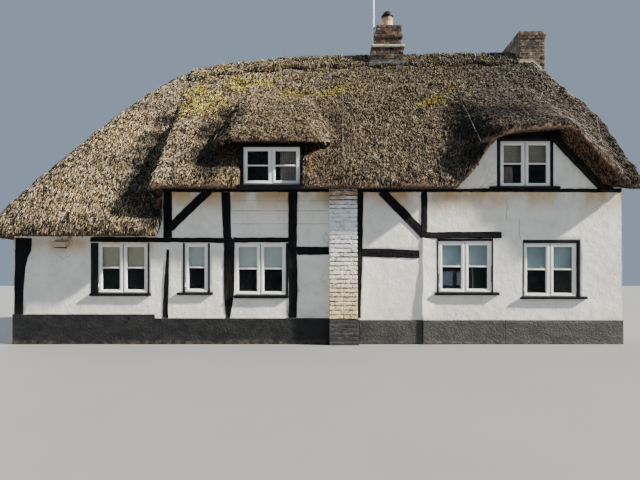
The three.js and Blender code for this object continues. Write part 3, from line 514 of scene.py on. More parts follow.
def steel(name="galvanised_steel", shade=1.0):
    finish = Finish(name, Metallic=0.85)
    spangle = finish.cells(60, output="Color")
    dull = finish.node("RGBToBW", None, {0: spangle}) * 0.3 + finish.grain(20, 4) * 0.4
    dark, bright = (tuple(c * shade for c in colour) for colour in ((0.3, 0.31, 0.33), (0.62, 0.63, 0.65)))
    return finish.done(dull.ramp((0.1, dark), (0.7, bright)), dull * 0.4 + 0.3)


def iron():
    finish = Finish("black_iron", Metallic=0.7)
    scale = finish.grain(40, 5, 0.7)
    colour = scale.ramp((0.4, (0.012, 0.012, 0.014)), (0.7, (0.07, 0.05, 0.04)))
    return finish.done(colour, scale * 0.4 + 0.35, scale, 0.002)


def oak_boards():
    finish = Finish("floor_boards", Specular_IOR_Level=0.4)
    rings = finish.grain(9, 5, stretch=(0.08, 1, 1), twist=0.8)
    colour = rings.ramp((0.3, (0.09, 0.05, 0.028)), (0.55, (0.2, 0.12, 0.065)), (0.75, (0.32, 0.21, 0.12)))
    board = finish.axes[1] * 6.5
    joint = (board.maths("FRACT", board) - 0.5).size().rise(0.485, 0.497)
    return finish.done(colour.cover(joint, (0.015, 0.01, 0.008)), rings * 0.3 + 0.35, rings * 0.2 - joint, 0.004)


def door_paint():
    finish = Finish("door_paint", Specular_IOR_Level=0.45)
    faded = finish.grain(4, 5, stretch=(1, 1, 0.4)).rise(0.4, 0.68) * 0.45
    colour = finish.mix(faded, (0.02, 0.055, 0.05), (0.09, 0.14, 0.125))
    return finish.done(colour, faded * 0.4 + 0.35, finish.grain(60, 5, 0.6, (1, 1, 0.08)), 0.002)


def lamp_shell():
    finish = Finish("lamp_shell", Specular_IOR_Level=0.4)
    film = finish.grain(18, 5).rise(0.45, 0.7) * 0.4
    colour = finish.mix(film, (0.56, 0.47, 0.36), (0.3, 0.22, 0.14))
    return finish.done(colour, film * 0.4 + 0.4, finish.grain(300, 2), 0.0006)


def studio_floor():
    finish = Finish("studio_floor", Roughness=0.9)
    return finish.done(finish.mix(finish.grain(0.6, 3), (0.165, 0.17, 0.178), (0.185, 0.19, 0.197)))


# ---- Modelling ----

ops = bpy.ops.mesh
MERGED = 0.00002  # corners of a frame node nearer than this are one
CLEAR = 0.0005  # between pieces that lie face to face


def alone(piece):
    bpy.ops.object.select_all(action="DESELECT")
    piece.select_set(True)
    bpy.context.view_layer.objects.active = piece


def edit(piece=None):
    """Enters edit mode on a piece, with all of it selected, or leaves it."""
    if piece:
        alone(piece)
    bpy.ops.object.mode_set(mode="EDIT" if piece else "OBJECT")
    if piece:
        ops.select_all(action="SELECT")


def merge(piece):
    """Enters edit mode and merges the corners of a frame node's loose triangles."""
    edit(piece)
    ops.remove_doubles(threshold=MERGED)


def linked(name, mesh):
    piece = bpy.data.objects.new(name, mesh)
    bpy.context.scene.collection.objects.link(piece)
    return piece


def copy_of(node, name):
    """A copy of a frame node with its corners merged, which then stands for the node."""
    piece = linked(name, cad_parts[node].data.copy())
    piece.data.materials.clear()
    merge(piece)
    edit()
    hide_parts(node)
    return piece


def read(rows, field, kind=np.float32):
    flat = np.empty(len(rows) * 3, kind)
    rows.foreach_get(field, flat)
    return flat.reshape(-1, 3)


def points_of(piece):
    return read(piece.data.vertices, "co").astype(float)


def normals_of(piece):
    return read(piece.data.vertex_normals, "vector").astype(float)


def triangles_of(piece):
    piece.data.calc_loop_triangles()
    return read(piece.data.loop_triangles, "vertices", np.int32)


def move_points(piece, points):
    piece.data.vertices.foreach_set("co", np.asarray(points, np.float32).ravel())
    piece.data.update()


def put_value(piece, name, values):
    layer = piece.data.attributes.new(name, "FLOAT", "POINT")
    layer.data.foreach_set("value", np.asarray(values, np.float32))


def from_arrays(name, points, faces):
    """A mesh piece from points and faces of one number of sides."""
    points, faces = np.asarray(points, np.float32).reshape(-1, 3), np.asarray(faces, np.int32)
    mesh = bpy.data.meshes.new(name)
    mesh.vertices.add(len(points))
    mesh.vertices.foreach_set("co", points.ravel())
    mesh.loops.add(faces.size)
    mesh.loops.foreach_set("vertex_index", faces.ravel())
    mesh.polygons.add(len(faces))
    mesh.polygons.foreach_set("loop_start", np.arange(0, faces.size, faces.shape[1], dtype=np.int32))
    mesh.update(calc_edges=True)
    return linked(name, mesh)


def copies(faces, count, size):
    """The faces of count units of size points each, made one after another."""
    return (np.asarray(faces)[None] + (np.arange(count) * size)[:, None, None]).reshape(-1, 3)


def finish_piece(piece, material, smooth=None):
    """Gives a piece its material and slot, smooths it up to an angle in degrees, and sets it on the cottage."""
    piece.data.materials.clear()
    piece.data.materials.append(material)
    if smooth is not None:
        alone(piece)
        bpy.ops.object.shade_smooth_by_angle(angle=math.radians(smooth))
    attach(piece, "root")
    return piece


def begin(name):
    piece = linked(name, bpy.data.meshes.new(name))
    edit(piece)
    return piece


def put_by():
    """Hides the part just made, so that the next is shaped alone."""
    ops.select_all(action="SELECT")
    ops.hide(unselected=False)


def leave():
    """Shows the parts that were put by, and leaves edit mode."""
    ops.reveal(select=False)
    edit()


def end(piece, material, smooth=30, place=None, cuts=(), uneven=()):
    """Leaves a piece and finishes it, cut by a step along axes, pressed uneven, and moved to its place, as asked."""
    leave()
    if cuts:
        sliced(piece, *cuts)
    if uneven:
        press(piece, *uneven)
    if place is not None:
        piece.data.transform(place)
    return finish_piece(piece, material, smooth)


def bevel(edge, rounds=2):
    ops.bevel(offset=edge, segments=rounds, affect="EDGES")


def bar(x, y, z, edge=0.003):
    """A squared bar with rounded edges, between pairs of limits."""
    middle = [(a + b) / 2 for a, b in (x, y, z)]
    size = [abs(b - a) for a, b in (x, y, z)]
    ops.primitive_cube_add(size=1, location=middle, scale=size)
    bevel(edge)
    put_by()


def round_bar(radius, length, middle, sides, edge, rounds=1, lying=True):
    """A round bar with eased ends, upright or lying along the front."""
    turn = (0, math.pi / 2 if lying else 0, 0)
    ops.primitive_cylinder_add(vertices=sides, radius=radius, depth=length, location=middle, rotation=turn)
    bevel(edge, rounds)
    put_by()


def ring(x, z, width, y, edge):
    """A mitred frame: a plate is inset, opened, and given its depth."""
    middle = ((x[0] + x[1]) / 2, y[0], (z[0] + z[1]) / 2)
    ops.primitive_plane_add(size=1, location=middle, rotation=(math.pi / 2, 0, 0))
    bpy.ops.transform.resize(value=(x[1] - x[0], 1, z[1] - z[0]), center_override=middle)
    ops.inset(thickness=width)
    ops.delete(type="FACE")
    ops.select_all(action="SELECT")
    ops.extrude_region_move(TRANSFORM_OT_translate={"value": (0, y[1] - y[0], 0)})
    ops.select_all(action="SELECT")
    ops.normals_make_consistent(inside=False)
    ops.select_all(action="DESELECT")
    ops.edges_select_sharp(sharpness=0.9)
    bevel(edge)
    put_by()


def rounded(piece, edge):
    """Rounds a piece's sharp edges."""
    edit(piece)
    ops.select_all(action="DESELECT")
    ops.edges_select_sharp(sharpness=0.6)
    ops.bevel(offset=edge, segments=2, affect="EDGES", clamp_overlap=True)
    edit()


def cut_at(piece, axis, offsets):
    """Cuts a piece by planes at offsets along an axis."""
    edit(piece)
    for offset in offsets:
        ops.select_all(action="SELECT")
        ops.bisect(plane_co=Vector(axis) * offset, plane_no=axis)
    edit()


def sliced(piece, step, *axes):
    """Cuts a piece by planes a step apart along each axis, so that it can be worked."""
    for axis in axes:
        reach = points_of(piece) @ np.array(axis)
        cut_at(piece, axis, np.arange(reach.min() + step / 2, reach.max(), step))


def wander(points, scale, seed, octaves=3):
    """Smooth noise about 0 at each point, its scale in waves a metre, along each axis or all."""
    places = points * np.array(scale) + seed * 7.31
    return np.array([noise.fractal(Vector(p), 1.0, 2.0, octaves) for p in places])


def press(piece, height, seed, depth):
    """Presses a piece's faces in and out by slow and quick noise."""
    points, normals = points_of(piece), normals_of(piece)
    move = height * wander(points, 1.6, seed) + depth * wander(points, 9, seed + 1)
    move_points(piece, points + normals * move[:, None])


def thicken(piece, depth):
    """Gives a sheet its thickness, inwards."""
    alone(piece)
    solid = piece.modifiers.new("thickness", "SOLIDIFY")
    solid.thickness, solid.offset = depth, -1
    bpy.ops.object.modifier_apply(modifier=solid.name)


def inside(points, margin):
    """Points kept inside the frame's box."""
    return np.clip(points, np.array(cad_low) + margin, np.array(cad_high) - margin)


def frame_tree(nodes):
    """The faces of some frame nodes, for finding what covers a point."""
    points, faces, start = [], [], 0
    for node in nodes:
        found = points_of(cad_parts[node])
        points.append(found)
        faces.append(triangles_of(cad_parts[node]) + start)
        start += len(found)
    return BVHTree.FromPolygons(np.concatenate(points).tolist(), np.concatenate(faces).tolist())


def roof_height(tree, x, y, missing=0.0):
    found = tree.ray_cast(Vector((x, y, 9)), -Z)[0]
    return found.z if found else missing


# ---- Thatch ----

ROOFS = {  # voxel, smoothing, straw ends, reed ends underneath
    "thatch_front": (0.055, 1, 42500, 6500),
    "thatch_rear": (0.062, 1, 23000, 2500),
    "thatch_bay": (0.056, 4, 30500, 2500),
    "window_hood": (0.036, 2, 6500, 1500),
    "ridge_cap": (0.044, 1, 11500, 0),
}


def in_ledge(points):
    """Which points are in the ledge of straw before the window under the hood."""
    x, y, z = points.T
    return (x > NOTCH[0] - 0.02) & (x < NOTCH[1] + 0.02) & (y < HOOD_FACE + 0.04) & (z > 2.68) & (z < 2.95)


def draw_in(points):
    """Draws the straw in under the left end of the main eaves, where the bay's roof turns to the wall."""
    x, y, z = points.T
    low = (x < -2.77) & (x > -3.6) & (y < -2.6) & (z < 2.64)
    slope = -2.62 - np.maximum(2.6 - z, 0) * 0.6
    y[low & (x > -2.99)] = np.maximum(y, slope)[low & (x > -2.99)]
    hollow = 0.09 * np.exp(-((x + 3.05) / 0.22) ** 2 - ((z - 2.4) / 0.16) ** 2)
    y[low] = np.minimum(y + hollow, np.maximum(y, -2.63))[low]


def thatch(node, voxel, seed, easing):
    """A roof: its solid is remeshed evenly, then dressed and weathered a few centimetres deep."""
    piece = copy_of(node, node + "_bed")
    piece.data.remesh_voxel_size = voxel
    alone(piece)
    bpy.ops.object.voxel_remesh()
    edit(piece)
    ops.vertices_smooth(factor=0.5, repeat=easing)
    edit()
    points, normals = points_of(piece), normals_of(piece)
    top = np.clip(normals[:, 2] * 3, 0, 1)
    layers = np.sin(points[:, 2] * 17 + 2.5 * wander(points, 0.7, seed))
    depth = 0.02 * wander(points, 3, seed, 4) + 0.012 * wander(points, (14, 9, 9), seed + 1) + 0.005 * layers
    points += normals * (depth * (0.35 + 0.65 * top) - 0.008)[:, None]
    points = inside(points, 0.002)
    if node in ("thatch_front", "thatch_bay"):
        draw_in(points)
    ledge = in_ledge(points)
    points[ledge, 2] = np.minimum(points[ledge, 2], 2.73)
    points[ledge, 1] = np.maximum(points[ledge, 1], -2.97)
    move_points(piece, points)
    # Marks faces that point down for the near-black reed colour, which is partly painted shade
    put_value(piece, "under", np.clip((-normals[:, 2] - 0.25) * 4, 0, 1) * (points[:, 2] < 4.2))
    flat = np.hypot(normals[:, 0], normals[:, 1]) + 1e-6
    put_value(piece, "sideways", np.clip(np.abs(normals[:, 0]) / flat * 3 - 1.2, 0, 1))
    return piece


def straw(name, bed, count, width, length, lift, seed, covers=(), facing=1, shade=1.0):
    """Straw ends lying down the slope of a bed: spikes with their butts lifted. Facing is -1 underneath. Shade below
    1 darkens their tone, as painted shade.
    """
    draw = np.random.default_rng(seed)
    points, normals, faces = points_of(bed), normals_of(bed), triangles_of(bed)
    a, b, c = (points[faces[:, k]] for k in range(3))
    cross = np.cross(b - a, c - a)
    area = np.linalg.norm(cross, axis=1) / 2
    up = cross[:, 2] / np.maximum(area * 2, 1e-9) * facing
    shaggy = (a[:, 0] < -2.3) & (a[:, 1] < 0)
    area = area * (up > (np.where(shaggy, -0.2, 0.12) if facing > 0 else 0.4))
    if facing < 0:
        area = area * ((a[:, 1] < FRONT - 0.04) | (a[:, 1] > REAR + 0.04))
    picked = draw.choice(len(faces), count, p=area / area.sum())
    shares = draw.dirichlet((1, 1, 1), count)
    root, out = (sum(shares[:, k, None] * of[faces[picked, k]] for k in range(3)) for of in (points, normals))
    out /= np.linalg.norm(out, axis=1)[:, None]
    lip = (root[:, 1] < -2.98) & (root[:, 2] > 2.6) | (root[:, 1] < -2.785) & (root[:, 2] < 3.64) & (root[:, 2] > 3.5)
    free = ~in_ledge(root) & ~(lip & (facing > 0))
    if covers:
        tree = frame_tree(covers)
        free &= [tree.ray_cast(Vector(p) + Vector(n) * 0.015, Vector(n), 0.6)[0] is None for p, n in zip(root, out)]
    root, out = root[free], out[free]
    count = len(root)
    down = out * out[:, 2:3] - np.array((0, 0, 1))
    down *= facing / np.maximum(np.linalg.norm(down, axis=1), 1e-6)[:, None]
    beside = np.cross(out, down)
    angle = (draw.normal(0, 0.2, count) * np.where(draw.random(count) < 0.12, 2.4, 1))[:, None]
    down, beside = down * np.cos(angle) + beside * np.sin(angle), beside * np.cos(angle) - down * np.sin(angle)
    wide, long, high = ((size * draw.uniform(low, most, count))[:, None]
                        for size, low, most in ((width, 0.5, 1.4), (length, 0.5, 1.5), (lift, 0.2, 1.6)))
    butt, half = root + down * long * 0.4, beside * wide * 0.5
    corners = np.stack([root - down * long * 0.6 - out * 0.006, butt - half, butt + half,
                        butt + out * (high + wide * 0.25)], axis=1)
    spike = [(1, 2, 3), (0, 1, 3), (0, 3, 2), (0, 2, 1)]
    piece = from_arrays(name, inside(corners, 0.001), copies(spike, count, 4))
    across = np.where(np.abs(out[:, 0]) > np.abs(out[:, 1]), root[:, 1], root[:, 0])
    clump = wander(np.stack([across, root[:, 2] * 0.4, np.zeros(count)], axis=1), 24, seed, 2)
    tone = np.clip(0.4 + 0.3 * clump + 0.44 * draw.standard_normal(count), 0, 1)
    put_value(piece, "tone", (tone[:, None] * np.array([0.45, 0.92, 0.92, 1.1]) * shade).ravel())
    return piece


def add_thatch():
    bed_finish, end_finish = straw_bed(), straw_ends()
    for number, (node, (voxel, easing, count, reeds)) in enumerate(ROOFS.items()):
        others = [n for n in ROOFS if n != node] + ["ridge_stack", "gable_stack"]
        bed = thatch(node, voxel, number, easing)
        ends = straw(node + "_straw", bed, count, 0.0112, 0.13, 0.0085, number + 20, others)
        finish_piece(bed, bed_finish, 60)
        finish_piece(ends, end_finish)
        if reeds:
            # Reed ends underneath, their tone cut to 0.42: the darker cut reed and painted shade on the undersides
            reed = straw(node + "_reed", bed, reeds, 0.016, 0.08, 0.006, number + 25, facing=-1, shade=0.42)
            finish_piece(reed, end_finish)


# ---- Walls ----

SEAM = 2.36  # where the end walls meet the front and rear walls
CREST = 1.83
FOLD = (1.7, 1.76, 1.79, 1.805, 1.815, CREST, 1.85, 1.88, 1.93)  # cuts across the fold in the front wall


def fold(points, levels=(0.38, 0.46, 0.7, 1.07, 1.45, 1.7, 1.88, 1.93),
         proud=(0.0, 0.038, 0.034, 0.025, 0.01, 0.017, 0.017, 0), easing=0.22):
    """Brings a face forward in a sharp upright fold, whose shadow falls to its left."""
    x, y, z = points.T
    crest = x - CREST
    share = np.where(crest < 0, np.clip(1 + crest / 0.03, 0, 1), np.clip(1 - crest / easing, 0, 1))
    y -= share * np.interp(z, levels, proud)
    sway = 0.01 * np.sin(z * 7) + 0.006 * np.sin(z * 19 + 1) - 0.02 * np.clip(1.6 - z, 0, 1)
    x += sway * np.clip(1 - np.abs(crest) / 0.12, 0, 1) * (z > PLINTH_TOP)


def coat(name, nodes, outward, material, seed, over=(-1, 20), proud=0.006):
    """A coat of render on an outer face, lifted off one or more walls: its border is eased, its field left uneven."""
    piece = linked(name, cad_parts[nodes[0]].data.copy())
    for node in nodes[1:]:
        other = linked(node + "_face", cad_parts[node].data.copy())
        alone(piece)
        other.select_set(True)
        bpy.ops.object.join()
    merge(piece)
    mesh = bmesh.from_edit_mesh(piece.data)
    reach = max(v.co.dot(outward) for v in mesh.verts)
    for face in mesh.faces:
        face.select = any(v.co.dot(outward) < reach - 0.001 for v in face.verts)
    bmesh.update_edit_mesh(piece.data)
    ops.delete(type="FACE")
    for level, inner in ((over[0], True), (over[1], False)):
        ops.select_all(action="SELECT")
        ops.bisect(plane_co=Z * level, plane_no=Z, clear_inner=inner, clear_outer=not inner)
    ops.select_all(action="SELECT")
    ops.inset(thickness=0.014, depth=0)
    edit()
    sliced(piece, 0.1, X if outward.y else Y, Z)
    if outward == OUT:
        cut_at(piece, X, FOLD)
    mesh = bmesh.new()
    mesh.from_mesh(piece.data)
    field = np.array([0.0 if v.is_boundary else 1.0 for v in mesh.verts])
    mesh.free()
    points = points_of(piece)
    field[np.abs(np.abs(points[:, 1]) - SEAM) < 0.002] = 1
    if outward == OUT:
        fold(points)
    swell = proud + 0.006 * wander(points, 1.4, seed) + 0.0025 * wander(points, 4.5, seed + 1)
    points += np.array(outward) * (0.0006 + field * np.clip(swell, 0.001, proud + 0.01))[:, None]
    move_points(piece, points)
    thicken(piece, 0.002)
    return finish_piece(piece, material, 50)


def add_walls():
    render, bitumen = lime(), plinth_paint()
    coat("front_render", ["front_wall"], OUT, render, 3)
    for side, nodes, outward, seed in (
            ("rear", ["rear_wall"], Y, 11), ("left", ["left_wall", "front_wall", "rear_wall"], -X, 12),
            ("right", ["right_wall", "front_wall", "rear_wall"], X, 13)):
        coat(side + "_render", nodes, outward, render, seed, (PLINTH_TOP, 20))
        coat(side + "_plinth_coat", nodes, outward, bitumen, seed, (-1, PLINTH_TOP), 0.012)
    for node, seed in (("plinth_left", 5), ("plinth_right", 6)):
        piece = copy_of(node, node + "_render")
        rounded(piece, 0.007)
        sliced(piece, 0.08, X, Z)
        cut_at(piece, X, FOLD)
        press(piece, 0.003, seed, 0.0015)
        points = points_of(piece)
        if node == "plinth_right":
            fold(points, (0, 0.5), (0.025, 0.025), 0.7)
        points[:, 2] = np.maximum(points[:, 2], 0)
        move_points(piece, points)
        finish_piece(piece, bitumen, 40)


# ---- Timbers ----

TIMBERS = {  # the way each one's grain runs, as x and z
    "corner_post": (0, 1), "curved_stud": (0, 1), "post_left": (0, 1), "post_window_left": (0, 1),
    "post_middle": (0, 1), "post_right": (0, 1), "post_short": (0, 1),
    "rail_bay": (1, 0), "rail_window": (1, 0), "rail_middle": (1, 0), "rail_right": (1, 0),
    "beam_window": (1, 0), "wall_plate": (1, 0), "brace_left": (0.72, 0.694), "brace_right": (0.693, -0.721),
}
# Ends drawn out to the next timber, before and after
JOINED = {"rail_bay": (0, 0.05), "beam_window": (0.065, 0), "brace_right": (0, 0.03)}


def hewn(piece, along, seed):
    """Works a timber as hewn oak: wavering arrises, and shakes along its grain."""
    swell, groove = 0.008, 0.005
    across = along.cross(OUT).normalized()
    sliced(piece, 0.016, across)
    sliced(piece, 0.06, along)
    points, normals = points_of(piece), normals_of(piece)
    length, width = points @ np.array(along), points @ np.array(across)
    each = np.ones(len(points)) * seed
    lines = wander(np.stack([length * 1.1, width * 34, each * 5.7], axis=1), 1, seed, 2)
    shakes = np.clip(0.2 - np.abs(lines), 0, 1) / 0.2
    arris = np.stack([length * 2.6, np.sign(width - width.mean()), each], axis=1)
    waver = wander(arris, 1, 0) + 0.6 * wander(arris, (4, 1, 1), 5)
    facing = np.abs(normals @ np.array(OUT))
    move = swell * (0.5 + 1.5 * waver) * (1 - facing) + facing * (0.0025 * waver - groove * shakes)
    move_points(piece, points + normals * move[:, None])


def add_timbers():
    oak = black_oak()
    for seed, (node, (x, z)) in enumerate(TIMBERS.items(), 30):
        piece, along = copy_of(node, node + "_oak"), Vector((x, 0, z)).normalized()
        points = points_of(piece)
        length = points @ np.array(along)
        start, stop = JOINED.get(node, (0, 0))
        move_points(piece, points + np.where(length < length.mean(), -start, stop)[:, None] * np.array(along))
        rounded(piece, 0.004)
        hewn(piece, along, seed)
        finish_piece(piece, oak, 40)


# ---- Windows ----

MULLION_GAP = 0.013
SASH = 0.051
WIDE = 0.6  # a casement wider than this has two lights
REST = 0.51  # how high its bars are, as a share of its height


def casement(node, x, z, place, material, glass_finish, seed):
    """A pair of flush casements, or one, each with a glazing bar: frame, sashes, beads, drips and hinges."""
    middle, rest = (x[0] + x[1]) / 2, z[0] + (z[1] - z[0]) * REST
    lights = [(x[0] + 0.012, x[1] - 0.012)]
    piece = begin(node + "_casement")
    ring(x, z, 0.046, (0.012, 0.075), 0.002)
    if x[1] - x[0] > WIDE:
        lights = [(x[0] + 0.012, middle - MULLION_GAP / 2), (middle + MULLION_GAP / 2, x[1] - 0.012)]
        bar((middle - 0.03, middle + 0.03), (0.03, 0.075), (z[0] + 0.01, z[1] - 0.01), 0.002)
    for left, right in lights:
        a, b = left + SASH, right - SASH
        ring((left, right), (z[0] + 0.013, z[1] - 0.012), SASH, (0.006, 0.05), 0.004)
        ring((a - 0.004, b + 0.004), (z[0] + 0.058, z[1] - 0.058), 0.011, (0.016, 0.044), 0.003)
        bar((a - 0.003, b + 0.003), (0.013, 0.047), (rest - 0.013, rest + 0.013), 0.005)
        bar((left + 0.004, right - 0.004), (-0.006, 0.012), (z[0] + 0.017, z[0] + 0.033), 0.004)
    for hinge in (x[0] + 0.011, x[1] - 0.011)[:len(lights)]:
        for level in (z[0] + 0.14, z[1] - 0.14):
            round_bar(0.006, 0.06, (hinge, 0.005, level), 10, 0.0012, lying=False)
    end(piece, material, 35, place)
    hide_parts(node)
    draw = np.random.default_rng(seed)
    panes = begin(node + "_panes")
    for left, right in lights:
        a, b = left + SASH + 0.002, right - SASH - 0.002
        for low, high in ((z[0] + 0.06, rest - 0.008), (rest + 0.008, z[1] - 0.06)):
            centre = ((a + b) / 2, 0.032, (low + high) / 2)
            ops.primitive_grid_add(x_subdivisions=6, y_subdivisions=8, size=1, location=centre,
                                   rotation=(math.pi / 2, 0, 0))
            bpy.ops.transform.resize(value=(b - a, 1, high - low), center_override=centre)
            bpy.ops.transform.rotate(value=draw.uniform(-0.006, 0.006), orient_axis="X", center_override=centre)
            put_by()
    leave()
    points = points_of(panes)
    points[:, 1] += 0.0007 * wander(points, (7, 1, 5), seed, 2)
    move_points(panes, points)
    thicken(panes, 0.004)
    panes.data.transform(place)
    finish_piece(panes, glass_finish, 40)


def surround(node, x, z, lining, sill, place, material, seed):
    """The black boards round a casement, and its sill."""
    piece = begin(node + "_surround")
    left, right, head = lining
    for width, start, stop, foot in (
            (left, x[0] - left, x[0] - CLEAR, z[0]), (right, x[1] + CLEAR, x[1] + right, z[0]),
            (head, x[0] - CLEAR, x[1] + CLEAR, z[1] + CLEAR)):
        if width:
            bar((start, stop), (-0.012, 0.07), (foot, z[1] + head))
    bar(sill[:2], (-0.06, 0.075), (z[0] - sill[2], z[0] - CLEAR), 0.006)
    # A black strip in the gap between the two sashes: a seal, and painted shade for the gap
    if x[1] - x[0] > WIDE:
        middle, half = (x[0] + x[1]) / 2, MULLION_GAP * 0.45
        bar((middle - half, middle + half), (0.011, 0.03), (z[0] + 0.016, z[1] - 0.014), 0.001)
    end(piece, material, 40, place, (0.11, X, Z), (0.0012, seed, 0.0006))


def cloth_sheet(name, across, down, shape, thickness, cloth, over=False):
    """A sheet of cloth: shape gives its points from shares across and down. Over turns its faces round."""
    t, v = np.meshgrid(np.linspace(0, 1, across + 1), np.linspace(0, 1, down + 1), indexing="ij")
    points = np.stack(shape(t, v), axis=2)
    corner = np.arange(across)[:, None] * (down + 1) + np.arange(down)[None]
    faces = np.stack([corner, corner + 1, corner + down + 2, corner + down + 1], axis=2).reshape(-1, 4)
    piece = from_arrays(name, points, faces[:, ::-1] if over else faces)
    thicken(piece, thickness)
    finish_piece(piece, cloth, 60)
    return piece, np.linalg.norm(np.diff(points, axis=0), axis=2).sum(axis=0).mean()


def add_blind(name, x, head, foot, y, cloth, rail):
    """A roller blind: tube and brackets, the cloth hung from it, and the rail at its foot."""
    width, top = x[1] - x[0], head - 0.03

    def hung(t, v):
        px = x[0] + width * t
        return px, y + 0.004 * np.sin(px * 9 + len(name)) * v, top + (foot - top) * v

    piece, _ = cloth_sheet(name + "_blind", 24, 14, hung, 0.0006, cloth, y > 0)
    roller = begin(name + "_roller")
    round_bar(0.016, width + 0.01, ((x[0] + x[1]) / 2, y + math.copysign(0.016, -y), top), 20, 0.002, 2)
    for side in x:
        bar((side - 0.012, side + 0.012), (y - 0.022, y + 0.022), (top - 0.022, head))
    end(roller, rail)
    weight = begin(name + "_blind_rail")
    bar(x, (y - 0.006, y + 0.006), (foot - 0.016, foot + 0.004), 0.004)
    end(weight, rail)
    round(top - foot, 3)


def add_curtain(name, x, z, y, gathers, cloth, metal, rod_x):
    """A gathered curtain on its rod: the cloth falls in folds that open a little towards its hem."""
    def gathered(t, v):
        turn = t * gathers * 2 * math.pi
        deep = 0.016 + 0.006 * v
        return (x[0] + (x[1] - x[0]) * t + 0.25 * deep * np.sin(2 * turn) + 0.01 * v * np.sin(t * 9),
                y + deep * np.sin(turn + 0.5 * np.sin(t * 11)) + 0.004 * np.sin(v * 5 + t * 7),
                z[1] - v * (z[1] - z[0]) + 0.004 * np.sin(turn * 0.5) * v)

    piece, cut = cloth_sheet(name + "_curtain", gathers * 10, 12, gathered, 0.0008, cloth)
    rod = begin(name + "_rod")
    level = z[1] + 0.004
    round_bar(0.006, rod_x[1] - rod_x[0], (sum(rod_x) / 2, y, level), 16, 0.001)
    for side in rod_x:
        bar((side - 0.006, side + 0.006), (y - 0.03, y + 0.008), (z[1] - 0.008, z[1] + 0.016), 0.002)
        ops.primitive_uv_sphere_add(segments=14, ring_count=8, radius=0.011, location=(side, y, level))
        put_by()
    end(rod, metal, 50)


def mirrored(pair):
    return -pair[1], -pair[0]


def add_windows():
    white, black, pane, cloth = white_paint(), black_paint(), glass(), roller_cloth()
    for seed, (node, (x, z, lining, sill)) in enumerate((*FRONT_WINDOWS.items(), *REAR_WINDOWS.items())):
        place, y, blind_x = Matrix.Translation((0, FRONT, 0)), FRONT + 0.11, (x[0] + 0.02, x[1] - 0.02)
        if node in REAR_WINDOWS:
            place, y = Matrix.Translation((0, REAR, 0)) @ Matrix.Rotation(math.pi, 4, "Z"), REAR - 0.11
            x, lining, sill = mirrored(x), (lining[1], lining[0], lining[2]), (*mirrored(sill[:2]), sill[2])
        casement(node, x, z, place, white, pane, seed + 60)
        surround(node, x, z, lining, sill, place, black, seed + 80)
        add_blind(node, blind_x, z[1] - 0.01, z[0] + (z[1] - z[0]) * REST + 0.03, y, cloth, white)
    add_hood_window(white, black, pane)
    linen = curtain_cloth()
    add_curtain("window_d_right", (-0.72, -0.43), (2.9, 3.46), -2.5, 7, linen, iron(), (-0.8, -0.38))
    add_curtain("window_g_left", (3.27, 3.5), (2.86, 3.2), -2.44, 6, linen, iron(), (3.25, 4.08))
    add_hood_sill(black)


def add_hood_window(white, black, pane):
    """The upper window under the hood, with its boards."""
    (x, z), place = HOOD_WINDOW, Matrix.Translation((0, HOOD_FACE, 0))
    casement("window_d", x, z, place, white, pane, 77)
    piece = begin("window_d_surround")
    low, high = 2.8215, 3.585
    for across, up in (((NOTCH[0], x[0] - CLEAR), (low, high)), ((x[1] + CLEAR, NOTCH[1]), (low, high)),
                       ((x[0] - CLEAR, x[1] + CLEAR), (z[1] + CLEAR, high)),
                       ((x[0] - CLEAR, x[1] + CLEAR), (low, z[0] - CLEAR))):
        bar(across, (0, 0.074), up)
    end(piece, black, 35, place)


def add_hood_sill(black):
    """Its sill: a board on edge, and one that leans out over it."""
    sill, width, edge = begin("window_d_sill"), (NOTCH[0] + 0.002, NOTCH[1] - 0.002), -2.999
    bar(width, (-2.996, -2.974), (2.692, 2.772))
    bar(width, (edge, -2.632), (2.744, 2.774), 0.004)
    leave()
    points = points_of(sill)
    points[:, 2] += np.where(points[:, 2] > 2.73, (points[:, 1] - edge) * 0.18, 0)
    move_points(sill, points)
    sliced(sill, 0.12, X)
    press(sill, 0.0015, 90, 0.0008)
    move_points(sill, np.maximum(points_of(sill), (-9, edge, 0)))
    finish_piece(sill, black, 40)


# ---- Brickwork ----

BRICK, JOINT, THICK = (0.215, 0.068), 0.01, 0.1


def courses(x, y, levels, proud=0.004, sides="fblr", long=0.225, thick=THICK, start=0):
    """Places for bricks in courses round a plan, headers by stretchers: centre, facing front or not, size."""
    places = []
    for number, (low, high) in enumerate(levels, start):
        odd = number % 2 == 1
        for side in sides:
            flat = side in "fb"
            run = x if flat else y
            inset = thick if odd == flat else -proud - JOINT / 2
            a, b = run[0] + inset, run[1] - (inset if flat or len(sides) == 4 else 0)
            halves = max(1, round((b - a) / long * 2))
            marks = np.linspace(a, b, halves + 1)
            cuts, at, step = [a], 0, 1 if odd else 2
            while at < halves:
                at = min(at + step, halves)
                cuts.append(marks[at])
                step = 3 - step
            face = {"f": y[0] - proud, "b": y[1] + proud, "l": x[0] - proud, "r": x[1] + proud}[side]
            deep = face + (thick if side in "fl" else -thick) / 2
            for left, right in zip(cuts[:-1], cuts[1:]):
                along = (left + right) / 2
                centre = (along, deep, (low + high) / 2) if flat else (deep, along, (low + high) / 2)
                places.append((centre, flat, right - left, high - low))
    return places


